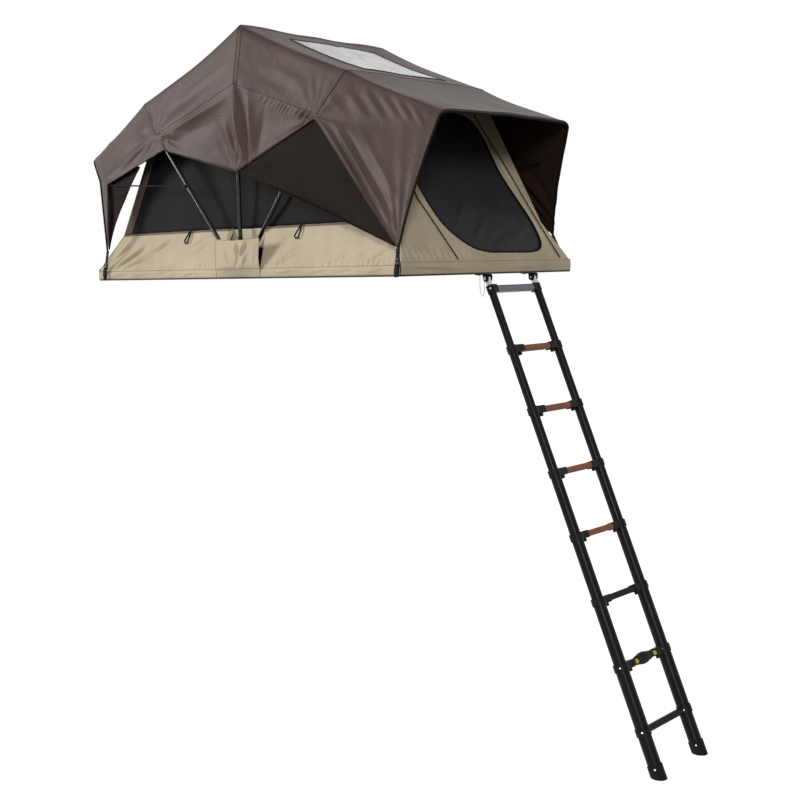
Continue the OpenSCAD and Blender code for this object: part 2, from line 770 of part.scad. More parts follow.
roof_grid = [
    for (x = [-end_top_x + 12, -end_top_x / 2, 0, end_top_x / 2, end_top_x - 12])
        [for (v = [-1, -0.5, 0, 0.5, 1]) [x, v * (wall_in(roof_z(x)) + cloth_t / 2), roof_z(x)]]
];

// Corner tie: webbing from the floor edge to the tip of a fly flap, with a buckle in it
web_w = 22;
web_t = 2;
buckle_w = 30;
buckle_h = 32;
buckle_t = 8;
module corner_tie(foot, tip) {
    d = tip - foot;
    span = norm(d);
    translate([foot[0] - web_w / 2, -foot_plate_y, foot[2] - 3])
        mirror([0, 1, 0]) cube([web_w, -foot[1] - foot_plate_y - web_t / 2 - seat, 8]);
    translate(foot)
        rotate([-atan2(d[1], d[2]), 0, 0])
            rotate([0, atan2(d[0], norm([d[1], d[2]])), 0]) {
                mid = span * 0.35;
                translate([-web_w / 2, -web_t / 2, 0]) cube([web_w, web_t, mid]);
                translate([-buckle_w / 2, -buckle_t / 2, mid + seat]) cube([buckle_w, buckle_t, buckle_h]);
                translate([-web_w / 2, -web_t / 2, mid + buckle_h + 2 * seat])
                    cube([web_w, web_t, max(4, span - mid - buckle_h - 3 * seat)]);
            }
}
foot_plate_y = half_w + seat;
tie_foot_y = wall_y + buckle_t / 2 + 1;

// Side flap: a darker panel that hangs from the fly between the middle bow and a flap tip
flap_from = 0.06;
flap_steps = 12;
flap_pull = 26;
flap_turn = 0.45;
function flap_top(u) =
    u < flap_turn
    ? tie + (lad_bow_line[0] - tie) * u / flap_turn
    : lad_bow_line[0] + (lad_flap - lad_bow_line[0]) * (u - flap_turn) / (1 - flap_turn);
function flap_low(u) = tie + (lad_flap - tie) * u + [0, flap_pull * 4 * u * (1 - u), 0];
// The sewn edge of the flap stops just short of the hem of the fly
flap_seam = cloth_t * 0.4;
function flap_sewn(u) = flap_top(u) - flap_seam * (flap_top(u) - flap_low(u)) / norm(flap_top(u) - flap_low(u));

// The flap at the car end hangs inside the awning rod and is gathered in at the flap's tip
gore_from = 0.43;
gore_turn = 0.35;
gore_bow = 40;
gore_y = rod_y(CAR, 1) - rod_eye_t / 2 - 2 * seat;
gore_low_z = 435;
gore_start = car_hem + (rod_tip - car_hem) * gore_from;
function gore_inside(p) =
    let (t = min(1, max(0, (gore_low_z - p[2]) / (gore_low_z - car_flap_z))))
    [p[0], -gore_y - (flap_y - gore_y - 2 * cloth_t) * t, p[2] - 2 * seat];
function gore_out(u) =
    u < gore_turn
    ? gore_start + (rod_tip - gore_start) * u / gore_turn
    : rod_tip + (car_flap - rod_tip) * (u - gore_turn) / (1 - gore_turn);
function gore_in(u) = gore_start + (car_flap - gore_start) * u - [gore_bow * 4 * u * (1 - u), 0, 0];
gore_grid = [
    for (i = [0:flap_steps])
        let (u = flap_from + (1 - 2 * flap_from) * i / flap_steps)
        [for (v = [0, 0.33, 0.67, 1]) gore_inside(gore_in(u) + (gore_out(u) - gore_in(u)) * v)]
];
flap_grid = [
    for (i = [0:flap_steps])
        let (u = flap_from + (1 - 2 * flap_from) * i / flap_steps)
        [for (v = [0, 0.33, 0.67, 1]) flap_low(u) + (flap_sewn(u) - flap_low(u)) * v - [0, 0, 2 * seat]]
];

module car_floor_board() {
    color(board_grey)
        difference() {
            at_hinge() mirror([1, 0, 0]) floor_board_shape();
            insert_places() translate([0, 0, -1]) cylinder(r = insert_r + fit, h = insert_h + 1 + seat);
        }
}
insert_r = fix_r + 3;
insert_h = fix_depth + 2;
module insert_places() {
    for (x = [-fix_x / 2, fix_x / 2])
        for (y = [-fix_y / 2, fix_y / 2])
            translate([x, y, 0]) children();
}
module car_floor_rails() {
    color(black) at_hinge() mirror([1, 0, 0]) floor_rails_shape();
}
module mount_inserts() {
    color(steel)
        insert_places()
            difference() {
                cylinder(r = insert_r, h = insert_h);
                translate([0, 0, -1]) cylinder(r = fix_r, h = fix_depth + 1);
            }
}
module car_mattress() {
    color(foam) at_hinge() mirror([1, 0, 0]) mattress_shape();
}
module car_hinge_brackets() {
    color(black) at_hinge() both_sides() hinge_plate(outer_plate_y, -1);
}
module hinge_pins() {
    color(steel) at_hinge() both_sides() hinge_pin();
}
module car_corner_ties() {
    color(black)
        at_hinge() both_sides()
            corner_tie([car_flap[0] - 46, -tie_foot_y, 3], car_flap - [0, 0, cloth_t]);
}
module inner_skirt() {
    color(beige)
        at_hinge() both_sides() {
            sheet(skirt_grid(cover_far + 13, cover_far - 75), cloth_t);
            mirror([1, 0, 0]) sheet(skirt_grid(cover_near + 10, cover_near + 10), cloth_t);
        }
}
module inner_mesh() {
    color(mesh_dark)
        at_hinge() {
            both_sides() side_mesh_shape();
            end_mesh(door_y);
            mirror([1, 0, 0]) end_mesh(0);
        }
}
module inner_ends() {
    color(beige)
        at_hinge() {
            end_wall(door_y);
            mirror([1, 0, 0]) end_wall(0);
        }
}
module inner_roof() {
    color(beige) at_hinge() sheet(roof_grid, cloth_t);
}
module fly() {
    color(brown) at_hinge() sheet(fly_grid, cloth_t);
}
module side_flaps() {
    color("#2b2321")
        at_hinge() both_sides() {
            sheet(flap_grid, cloth_t);
            sheet([for (i = [flap_steps:-1:0]) gore_grid[i]], cloth_t);
        }
}
module skylight() {
    color(film) at_hinge() sheet(sky_grid, sky_t);
}
module hinge_covers() {
    color(beige) at_hinge() both_sides() sheet(cover_grid, cloth_t);
}

module ladder_floor_board() {
    color(board_grey) at_hinge() floor_board_shape();
}
module ladder_floor_rails() {
    color(black) at_hinge() floor_rails_shape();
}
module ladder_mattress() {
    color(foam) at_hinge() mattress_shape();
}
module ladder_hinge_brackets() {
    color(black) at_hinge() both_sides() hinge_plate(inner_plate_y, 1);
}
module ladder_brackets() {
    color(black) at_hinge() for (y = stile_ys) translate([0, y, 0]) hanger_bracket();
}
module bracket_bolts() {
    color(steel)
        at_hinge()
            for (y = stile_ys)
                for (side = [-1, 1])
                    translate([bolt_x, y + side * bolt_y, -bracket_plate_t - seat]) {
                        cylinder(r = bolt_r, h = bracket_plate_t + seat / 2);
                        translate([0, 0, -bolt_r - seat]) cylinder(r = 2 * bolt_r, h = bolt_r + seat / 2);
                    }
}
module ladder_corner_ties() {
    color(black)
        at_hinge() both_sides()
            corner_tie([lad_flap[0] - 8, -tie_foot_y, 3], lad_flap - [0, 0, cloth_t]);
}
module lanyards() {
    color(steel)
        at_hinge() {
            translate([pivot_x, ladder_y - stile_y, 0]) wire(lanyard_route);
            translate([pivot_x, ladder_y + stile_y, 0]) mirror([0, 1, 0]) wire(lanyard_route);
        }
}
module near_ladder_pin() {
    color(steel) at_hinge() ladder_pin(-1);
}
module far_ladder_pin() {
    color(steel) at_hinge() ladder_pin(1);
}

module car_bow_tubes() {
    color(grey_alu) at_hinge() bow_tubes(CAR);
}
module car_bow_fittings() {
    color(black) at_hinge() bow_fittings(CAR, 1);
}
module mid_bow_tubes() {
    color(grey_alu) at_hinge() bow_tubes(MID);
}
module mid_bow_fittings() {
    color(black) at_hinge() bow_fittings(MID, 0);
}
module ladder_bow_tubes() {
    color(grey_alu) at_hinge() bow_tubes(LAD);
}
module ladder_bow_fittings() {
    color(black) at_hinge() bow_fittings(LAD, -1);
}
module car_awning_rods() {
    color(steel) at_hinge() awning_rods(CAR, 1, -1);
}
module ladder_awning_rods() {
    color(steel) at_hinge() awning_rods(LAD, -1, 1);
}

// Ladder head
link_r = 13;
link_low = 8;
link_d = 18;
cap_wall = 3;
cap_up = 18;
cap_down = 20;
cap_arm = 12;
top_bar_d = 26;
top_bar_h = 33;
module ladder_links() {
    color(grey_alu)
        at_hinge() ladder_frame() both_stiles()
            difference() {
                union() {
                    translate([0, link_w / 2, hanger_drop])
                        rotate([90, 0, 0]) cylinder(r = link_r, h = link_w);
                    translate([-link_d / 2, -link_w / 2, link_low])
                        cube([link_d, link_w, hanger_drop - link_low]);
                }
                translate([0, link_w, hanger_drop])
                    rotate([90, 0, 0]) cylinder(r = hanger_r + fit, h = 2 * link_w);
            }
}
module ladder_cap(inward) {
    r = tube_out(1);
    reach = r + cap_wall + cap_arm;
    difference() {
        union() {
            translate([0, 0, -cap_down]) cylinder(r = r + cap_wall, h = cap_up + cap_down);
            translate([-top_bar_d / 2 - arm_wall, inward > 0 ? 0 : -reach, -top_bar_h / 2 - arm_wall])
                cube([top_bar_d + 2 * arm_wall, reach, top_bar_h + 2 * arm_wall]);
        }
        translate([0, 0, -cap_down - 1]) cylinder(r = r + fit, h = cap_down + 1 + tube_top + seat);
        translate([-link_d / 2 - seat, -link_w / 2 - seat, link_low - seat])
            cube([link_d + 2 * seat, link_w + 2 * seat, cap_up]);
        translate([-top_bar_d / 2 - seat, inward > 0 ? reach - cap_arm : -reach - 1, -top_bar_h / 2 - seat])
            cube([top_bar_d + 2 * seat, cap_arm + 1, top_bar_h + 2 * seat]);
    }
}
module ladder_caps() {
    color(black)
        at_hinge() ladder_frame() {
            translate([0, -stile_y, 0]) ladder_cap(1);
            translate([0, stile_y, 0]) ladder_cap(-1);
        }
}
module top_bar() {
    color(grey_alu)
        at_hinge() ladder_frame()
            rung_bar(top_bar_d, top_bar_h, 2 * (stile_y - tube_out(1) - cap_wall - seat));
}
module stiles_1() {
    color(black) at_hinge() ladder_frame() stiles(1);
}
module stiles_2() {
    color(black) at_hinge() ladder_frame() stiles(2);
}
module collars_2() {
    color(black) at_hinge() ladder_frame() collars(2);
}
module rung_2() {
    color(rung_brown) at_hinge() ladder_frame() rung(2);
}
module stiles_3() {
    color(black) at_hinge() ladder_frame() stiles(3);
}
module collars_3() {
    color(black) at_hinge() ladder_frame() collars(3);
}
module rung_3() {
    color(rung_brown) at_hinge() ladder_frame() rung(3);
}
module stiles_4() {
    color(black) at_hinge() ladder_frame() stiles(4);
}
module collars_4() {
    color(black) at_hinge() ladder_frame() collars(4);
}
module rung_4() {
    color(rung_brown) at_hinge() ladder_frame() rung(4);
}
module stiles_5() {
    color(black) at_hinge() ladder_frame() stiles(5);
}
module collars_5() {
    color(black) at_hinge() ladder_frame() collars(5);
}
module rung_5() {
    color(rung_brown) at_hinge() ladder_frame() rung(5);
}
module stiles_6() {
    color(black) at_hinge() ladder_frame() stiles(6);
}
module collars_6() {
    color(black) at_hinge() ladder_frame() collars(6);
}
module rung_6() {
    color(black) at_hinge() ladder_frame() rung(6);
}
module stiles_7() {
    color(black) at_hinge() ladder_frame() stiles(sections);
}
module collars_7() {
    color(black) at_hinge() ladder_frame() collars(sections);
}

// The lowest sliding section ends in a handle with two release buttons
grip_l = 110;
grip_wall = 4;
button_y = 75;
button_r = 10;
button_out = 7;
button_in = 8;
button_travel = 6;
module button_places() {
    for (y = [-button_y, button_y]) translate([0, y, section_z(sections)]) rotate([0, 90, 0]) children();
}
module handle_rung() {
    color(black)
        at_hinge() ladder_frame()
            difference() {
                rung(sections);
                button_places()
                    translate([0, 0, rung_d / 2 - button_in - button_travel - 1])
                        cylinder(r = button_r + fit, h = rung_d);
            }
}
module handle_grip() {
    color("#26262a")
        at_hinge() ladder_frame()
            translate([0, 0, section_z(sections)])
                difference() {
                    rung_bar(rung_d + 2 * grip_wall, rung_h + 2 * grip_wall, grip_l);
                    rung_bar(rung_d + 2 * seat, rung_h + 2 * seat, grip_l + 2);
                }
}
module release_button(y) {
    at_hinge() ladder_frame()
        translate([rung_d / 2 - button_in, y, section_z(sections)])
            rotate([0, 90, 0]) cylinder(r = button_r, h = button_in + button_out);
}
module left_release_button() {
    color(yellow) release_button(-button_y);
}
module right_release_button() {
    color(yellow) release_button(button_y);
}
sleeve_h = 34;
module bottom_rung() {
    r = tube_out(sections);
    color(black)
        at_hinge() ladder_frame()
            translate([0, 0, foot_rung_z]) {
                both_stiles()
                    difference() {
                        translate([0, 0, -sleeve_h / 2]) cylinder(r = r + collar_wall, h = sleeve_h);
                        translate([0, 0, -sleeve_h]) cylinder(r = r + fit, h = 2 * sleeve_h);
                    }
                rung_bar(rung_d, rung_h, 2 * (stile_y - r - collar_wall / 2));
            }
}
module feet() {
    r = tube_out(sections);
    skew = (r + collar_wall) * tan(lean);
    color("#17171a")
        at_hinge() ladder_frame() both_stiles()
            translate([0, 0, ladder_foot])
                difference() {
                    translate([0, 0, -2 * skew - 1]) cylinder(r = r + collar_wall, h = foot_h + 2 * skew + 1);
                    translate([0, 0, foot_sole]) cylinder(r = r + fit, h = foot_h);
                    translate([0, 0, -skew])
                        rotate([0, lean, 0])
                            translate([-foot_h, -foot_h, -2 * foot_h]) cube(2 * foot_h);
                }
}

car_floor_board();
car_floor_rails();
mount_inserts();
car_mattress();
car_hinge_brackets();
hinge_pins();
car_corner_ties();
inner_skirt();
inner_mesh();
inner_ends();
inner_roof();
fly();
side_flaps();
skylight();
hinge_covers();
ladder_floor_board();
ladder_floor_rails();
ladder_mattress();
ladder_hinge_brackets();
ladder_brackets();
bracket_bolts();
ladder_corner_ties();
lanyards();
near_ladder_pin();
far_ladder_pin();
car_bow_tubes();
car_bow_fittings();
mid_bow_tubes();
mid_bow_fittings();
ladder_bow_tubes();
ladder_bow_fittings();
car_awning_rods();
ladder_awning_rods();
ladder_links();
ladder_caps();
top_bar();
stiles_1();
stiles_2();
collars_2();
rung_2();
stiles_3();
collars_3();
rung_3();
stiles_4();
collars_4();
rung_4();
stiles_5();
collars_5();
rung_5();
stiles_6();
collars_6();
rung_6();
stiles_7();
collars_7();
handle_rung();
handle_grip();
bottom_rung();
feet();
left_release_button();
right_release_button();
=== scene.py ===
# %% [markdown]
# # A fold-out roof top tent
# The tent is two hinged floor halves with a fan of three bows, an inner tent of canvas and net,
# a brown fly sheet on top and a telescopic ladder. The hard parts come ready made from the frame.
# Here they get their finishes, and everything that is sewn gets its real folds, seams and trim.

import json
import math

import bmesh
import bpy
import numpy as np
from mathutils import Matrix, Vector


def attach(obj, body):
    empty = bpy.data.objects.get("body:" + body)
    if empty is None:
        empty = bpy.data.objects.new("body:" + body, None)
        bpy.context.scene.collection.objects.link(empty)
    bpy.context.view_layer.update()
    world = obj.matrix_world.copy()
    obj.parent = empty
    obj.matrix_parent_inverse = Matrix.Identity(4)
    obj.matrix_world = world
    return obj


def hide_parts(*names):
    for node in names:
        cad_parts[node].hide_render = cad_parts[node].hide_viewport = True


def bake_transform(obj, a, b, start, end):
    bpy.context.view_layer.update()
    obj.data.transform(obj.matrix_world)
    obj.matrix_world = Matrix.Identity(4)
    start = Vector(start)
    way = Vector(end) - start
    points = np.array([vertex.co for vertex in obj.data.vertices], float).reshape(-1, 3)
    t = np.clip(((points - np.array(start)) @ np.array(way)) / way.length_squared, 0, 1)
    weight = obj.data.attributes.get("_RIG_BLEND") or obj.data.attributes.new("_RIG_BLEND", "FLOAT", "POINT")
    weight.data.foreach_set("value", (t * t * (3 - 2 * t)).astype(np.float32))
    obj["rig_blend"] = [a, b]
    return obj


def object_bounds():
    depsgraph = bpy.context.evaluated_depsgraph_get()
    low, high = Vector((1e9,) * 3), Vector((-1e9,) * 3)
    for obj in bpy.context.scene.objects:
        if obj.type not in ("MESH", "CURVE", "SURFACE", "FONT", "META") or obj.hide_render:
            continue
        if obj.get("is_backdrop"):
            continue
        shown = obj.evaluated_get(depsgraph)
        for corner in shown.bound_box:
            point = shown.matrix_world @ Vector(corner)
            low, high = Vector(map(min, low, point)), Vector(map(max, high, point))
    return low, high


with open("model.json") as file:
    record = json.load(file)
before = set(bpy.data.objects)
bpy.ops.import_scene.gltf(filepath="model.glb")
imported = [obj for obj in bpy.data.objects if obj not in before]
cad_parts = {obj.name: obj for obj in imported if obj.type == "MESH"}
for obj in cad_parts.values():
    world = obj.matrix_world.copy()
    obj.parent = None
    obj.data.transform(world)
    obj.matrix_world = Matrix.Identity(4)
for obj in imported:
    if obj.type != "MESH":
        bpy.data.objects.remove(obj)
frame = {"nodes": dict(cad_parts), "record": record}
cad_low, cad_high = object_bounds()
scene = bpy.context.scene
scene.view_settings.view_transform = "Standard"
print("frame box", [round(v, 3) for v in cad_low], [round(v, 3) for v in cad_high])

# %% [markdown]
# ## Camera
# The photograph is taken from beside the ladder, at the height of the tent's floor. A camera can be
# aimed with a constraint or with angles. Angles are used, because a slight roll is part of the view.
# The places in this file are measured from the fold line, so one value moves them to the frame.

# %% Camera
FOLD_X = 0.570
CAMERA_AT = Vector((FOLD_X + 4.6801, -4.443, 0.0434))
CAMERA_YAW = math.radians(42.993)
CAMERA_PITCH = math.radians(-6.297)
CAMERA_ROLL = math.radians(-1.2195)
LENS_MM = 54.44
SENSOR_MM = 36
SEES_TO = 200

forward = Vector((
    -math.sin(CAMERA_YAW) * math.cos(CAMERA_PITCH),
    math.cos(CAMERA_YAW) * math.cos(CAMERA_PITCH),
    math.sin(CAMERA_PITCH),
))
level = Vector((math.cos(CAMERA_YAW), math.sin(CAMERA_YAW), 0))
upright = level.cross(forward)
across = level * math.cos(CAMERA_ROLL) + upright * math.sin(CAMERA_ROLL)
upward = upright * math.cos(CAMERA_ROLL) - level * math.sin(CAMERA_ROLL)
camera = bpy.data.objects.new("camera", bpy.data.cameras.new("camera"))
camera.data.sensor_width = SENSOR_MM
camera.data.lens = LENS_MM
camera.data.clip_end = SEES_TO
camera_turn = Matrix((across, upward, -forward)).transposed().to_4x4()
camera.matrix_world = Matrix.Translation(CAMERA_AT) @ camera_turn
scene.collection.objects.link(camera)
scene.camera = camera
print("camera at", [round(v, 3) for v in CAMERA_AT])

# %% [markdown]
# ## Lanyards
# A loop of thin plastic-coated wire keeps each ladder pin from getting lost. A wire could stay a
# curve with a round bevel, but only a mesh can bend from point to point when a pin is pulled, so
# the curve is turned into a mesh. Piping and seams further on use the same helper.

# %% Round tubes
MM = 0.001


def tube_mesh(name, lines, radius, rounding, closed=False):
    """A round tube along each line of points."""
    curve = bpy.data.curves.new(name, "CURVE")
    curve.dimensions = "3D"
    curve.bevel_depth = radius
    curve.bevel_resolution = rounding
    curve.use_fill_caps = True
    for line in lines:
        spline = curve.splines.new("POLY")
        spline.points.add(len(line) - 1)
        spline.use_cyclic_u = closed
        for point, place in zip(spline.points, line):
            point.co = (*place, 1)
    shape = bpy.data.objects.new(name + "_line", curve)
    scene.collection.objects.link(shape)
    depsgraph = bpy.context.evaluated_depsgraph_get()
    mesh = bpy.data.meshes.new_from_object(shape.evaluated_get(depsgraph))
    bpy.data.objects.remove(shape)
    mesh.name = name
    for face in mesh.polygons:
        face.use_smooth = True
    return mesh


print("lengths are in metres, so a millimetre is", MM)

# %% [markdown]
# The wire's points repeat the route of the solid wire, in millimetres from the ladder's hanger, from
# the floor to the pin. The share with which a point follows the pin grows along that route.

# %% Lanyards
WIRE_R = 1.2 * MM
WIRE_ROUNDING = 3
LADDER_Y = 0.145
STILE_Y = 0.176
HANGER_X = 1.139
LANYARD_ROUTE = [
    (-24, -25, -5.9), (-23.6, -25.4, -9), (-23, -27, -16), (-21.5, -30, -30), (-19.5, -33, -48),
    (-17, -35, -66), (-14, -36, -82), (-10, -36.2, -94), (-5, -36, -101), (0, -35.6, -101),
    (4, -35, -95), (6, -34, -84), (7, -33, -70), (6.6, -32, -55), (5.5, -30.4, -42),
    (4, -28.4, -32), (2.4, -26.2, -25), (1, -24.4, -21.6), (0, -23.8, -19.4),
]


def lanyard(name, pin, stile_y, side):
    """A wire from the floor to one pin, on the side of its stile that faces out."""
    route = [
        Vector((FOLD_X + HANGER_X + x * MM, stile_y + side * y * MM, z * MM))
        for x, y, z in LANYARD_ROUTE
    ]
    tube = tube_mesh(name, [route], WIRE_R, WIRE_ROUNDING)
    piece = bpy.data.objects.new(name, tube)
    scene.collection.objects.link(piece)
    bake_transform(piece, "ladder_base", pin, route[0], route[-1])
    for vertex, share in zip(tube.vertices, tube.attributes["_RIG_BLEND"].data):
        nearest = min(range(len(route)), key=lambda k: (route[k] - vertex.co).length)
        share.value = nearest / (len(route) - 1)
    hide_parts("lanyards")
    return piece


lanyards = [
    lanyard("near_lanyard", "near_pin", LADDER_Y - STILE_Y, 1),
    lanyard("far_lanyard", "far_pin", LADDER_Y + STILE_Y, -1),
]

# %% [markdown]
# ## Helpers for finishes
# Colours are written as sRGB hex, the way they are picked from a picture, and Blender works in
# linear light, so one function converts them. One more adds a node with its settings and links.

# %% Finish helpers


def linear(hex_colour):
    """A colour in linear light from its sRGB hex value."""
    channels = [int(hex_colour[i:i + 2], 16) / 255 for i in (1, 3, 5)]
    lit = [c / 12.92 if c <= 0.04045 else ((c + 0.055) / 1.055) ** 2.4 for c in channels]
    return (*lit, 1)


def add_node(tree, kind, sockets=None, **settings):
    """Adds a node, with its settings and with values or links for its sockets."""
    made = tree.nodes.new(kind)
    for name, value in settings.items():
        setattr(made, name, value)
    for name, value in (sockets or {}).items():
        if isinstance(value, bpy.types.NodeSocket):
            tree.links.new(value, made.inputs[name])
        else:
            made.inputs[name].default_value = value
    return made


def new_finish(name, roughness, metallic=0.0, **sockets):
    """A material with its main shader set. A socket's name has _ for each space."""
    finish = bpy.data.materials.new(name)
    finish.use_nodes = True
    shader = finish.node_tree.nodes["Principled BSDF"]
    shader.inputs["Roughness"].default_value = roughness
    shader.inputs["Metallic"].default_value = metallic
    for socket, value in sockets.items():
        shader.inputs[socket.replace("_", " ")].default_value = value
    return finish, finish.node_tree, shader


print("a middle grey in linear light", [round(c, 3) for c in linear("#808080")])

# %% [markdown]
# ## Cloth finishes
# The fly is canvas of brown polyester with a darker inner face, the walls are beige poly-cotton.
# A weave could be an image, but two crossed wave textures on the cloth's own UV map, which is in
# metres, give threads that follow the folds. Threads are drawn at 3 mm, coarser than real ones,
# so that they show. Large soft noise adds the uneven tone of cloth that has been packed away.

# %% Woven cloth
THREAD = 3 * MM
THREAD_DEPTH = 0.4 * MM
THREAD_STRENGTH = 0.12
TONE_SIZE = 250 * MM
CREASE_DEPTH = 6 * MM
TONE_FROM, TONE_TO = 0.3, 0.7


def woven(name, light, dark, roughness=0.85, crinkle=0.4, crinkle_mm=70, gloss=0.08):
    """Cloth of two tones, with soft creases and a weave of threads."""
    finish, tree, shader = new_finish(name, roughness, Specular_IOR_Level=gloss)
    uv = add_node(tree, "ShaderNodeUVMap", uv_map="UVMap")
    place = add_node(tree, "ShaderNodeTexCoord")
    # A wave texture repeats every 2 pi / 20 units, so its scale comes from the thread spacing
    scale = math.pi / 10 / THREAD
    warp = add_node(tree, "ShaderNodeTexWave", {"Vector": uv.outputs["UV"], "Scale": scale},
                    wave_type="BANDS", bands_direction="X")
    weft = add_node(tree, "ShaderNodeTexWave", {"Vector": uv.outputs["UV"], "Scale": scale},
                    wave_type="BANDS", bands_direction="Y")
    threads = add_node(tree, "ShaderNodeMath", {0: warp.outputs["Fac"], 1: weft.outputs["Fac"]},
                       operation="MULTIPLY")
    tone = add_node(tree, "ShaderNodeTexNoise",
                    {"Vector": place.outputs["Object"], "Scale": 1 / TONE_SIZE, "Detail": 4.0,
                     "Roughness": 0.6})
    creases = add_node(tree, "ShaderNodeTexNoise",
                       {"Vector": place.outputs["Object"], "Scale": 1 / (crinkle_mm * MM), "Detail": 3.0,
                        "Roughness": 0.5, "Distortion": 0.6})
    colour = add_node(tree, "ShaderNodeValToRGB", {"Fac": tone.outputs["Fac"]})
    colour.color_ramp.elements[0].position = TONE_FROM
    colour.color_ramp.elements[0].color = linear(dark)
    colour.color_ramp.elements[1].position = TONE_TO
    colour.color_ramp.elements[1].color = linear(light)
    soft = add_node(tree, "ShaderNodeBump",
                    {"Height": creases.outputs["Fac"], "Strength": crinkle, "Distance": CREASE_DEPTH})
    fine = add_node(tree, "ShaderNodeBump",
                    {"Height": threads.outputs["Value"], "Strength": THREAD_STRENGTH,
                     "Distance": THREAD_DEPTH, "Normal": soft.outputs["Normal"]})
    tree.links.new(colour.outputs["Color"], shader.inputs["Base Color"])
    tree.links.new(fine.outputs["Normal"], shader.inputs["Normal"])
    return finish


print("threads every", THREAD / MM, "mm")

# %% [markdown]
# Each cloth then needs only its two tones, how rough and glossy it is, and how much it creases.

# %% Cloth finishes
# Coated polyester: brown, with a soft sheen on its folds
fly_canvas = woven("polyester_canvas_brown", "#594a44", "#4c3f3a",
                   roughness=0.44, crinkle=0.5, gloss=0.1)
# The same cloth from inside: dark and nearly matt
fly_inner_face = woven("polyester_inner_face_dark", "#33271f", "#281e18", roughness=0.6, crinkle=0.3)
# Uncoated polyester for the side flaps, painted near black with the shade of the fly, without a sheen
flap_painted_shade_cloth = woven("polyester_canvas_painted_shade", "#1d1410", "#160f0c",
                   roughness=0.55, crinkle=0.4, gloss=0.03)
# Poly-cotton: warm beige and quite matt
wall_canvas = woven("poly_cotton_beige", "#cfc1a6", "#c0b297", crinkle=0.5)
wall_seam = woven("poly_cotton_seam", "#a3957b", "#94876e", crinkle=0.2, crinkle_mm=25)
band_cloth = woven("poly_cotton_taupe", "#87796c", "#786b5f", crinkle=0.2)
# The same taupe cloth on the nets' sloping ends, painted dark brown with the shade under the fly
net_band_painted_shade = woven("poly_cotton_taupe_painted_shade", "#64564b", "#564a40", crinkle=0.3)
# Fine net: black, and drawn nearer black still with the shade under the fly painted in. The doors take a
# lighter copy of the same net, with more creases and gloss
net_cloth_painted_shade = woven("polyester_net_black_painted_shade", "#1e1d20", "#171618",
                  roughness=0.6, crinkle=0.5, gloss=0.04)
door_net = woven("polyester_net_door", "#343236", "#29272b",
                 roughness=0.5, crinkle=0.6, crinkle_mm=55, gloss=0.1)
# Sewn tapes and piping: tight weaves that hardly crease
seam_thread = woven("polyester_seam_brown", "#473c37", "#3c322e",
                    roughness=0.7, crinkle=0.1, crinkle_mm=20)
binding = woven("binding_tape_black", "#1a1717", "#131111",
                roughness=0.7, crinkle=0.1, crinkle_mm=20)
webbing = woven("nylon_webbing_black", "#1d1c1e", "#151416",
                roughness=0.6, crinkle=0.1, crinkle_mm=15)
# Brushed cotton: grey and soft
mattress_cloth = woven("cotton_cover_grey", "#8f8d8a", "#83817e", crinkle=0.3)
print("finishes so far", len(bpy.data.materials))

# %% [markdown]
# The skylight is clear PVC film: smooth, a little milky, with a soft gloss. Film that has been
# folded is never flat, so a slow noise bends its reflections.

# %% Film finish
HAZE_SIZE = 140 * MM
HAZE_FROM, HAZE_TO = 0.35, 0.6
WAVE_SIZE = 160 * MM
WAVE_DEPTH = 12 * MM
clear_film, tree, shader = new_finish("pvc_film_clear", 0.18, IOR=1.53, Transmission_Weight=0.35)
place = add_node(tree, "ShaderNodeTexCoord")
haze = add_node(tree, "ShaderNodeTexNoise",
                {"Vector": place.outputs["Object"], "Scale": 1 / HAZE_SIZE, "Detail": 3.0,
                 "Distortion": 0.8})
milky = add_node(tree, "ShaderNodeValToRGB", {"Fac": haze.outputs["Fac"]})
milky.color_ramp.elements[0].position = HAZE_FROM
milky.color_ramp.elements[0].color = linear("#b9c0c5")
milky.color_ramp.elements[1].position = HAZE_TO
milky.color_ramp.elements[1].color = linear("#e2e7ea")
tree.links.new(milky.outputs["Color"], shader.inputs["Base Color"])
waves = add_node(tree, "ShaderNodeTexNoise",
                 {"Vector": place.outputs["Object"], "Scale": 1 / WAVE_SIZE, "Detail": 2.0})
ripple = add_node(tree, "ShaderNodeBump",
                  {"Height": waves.outputs["Fac"], "Strength": 0.5, "Distance": WAVE_DEPTH})
tree.links.new(ripple.outputs["Normal"], shader.inputs["Normal"])
print("film", clear_film.name, "with", len(tree.nodes), "nodes")

# %% [markdown]
# ## Hard finishes
# Moulded plastics show fine spark-eroded grain, anodised tubes show drawing lines along their
# length, and rubber is matt. One noise gives the grain, stretched for the drawn metal.

# %% Moulded and drawn
WEAR_SIZE = 45 * MM
WEAR_FROM, WEAR_TO = 0.25, 0.75
WEAR_TONE = 0.12
WEAR_ROUGH = 0.06
GRAIN_DEPTH = 0.3 * MM
NO_STRETCH = (1, 1, 1)
# Drawn tubes: the grain is stretched along Z, roughly the way ladder tubes and bow legs run
DRAWN = (1, 1, 0.08)


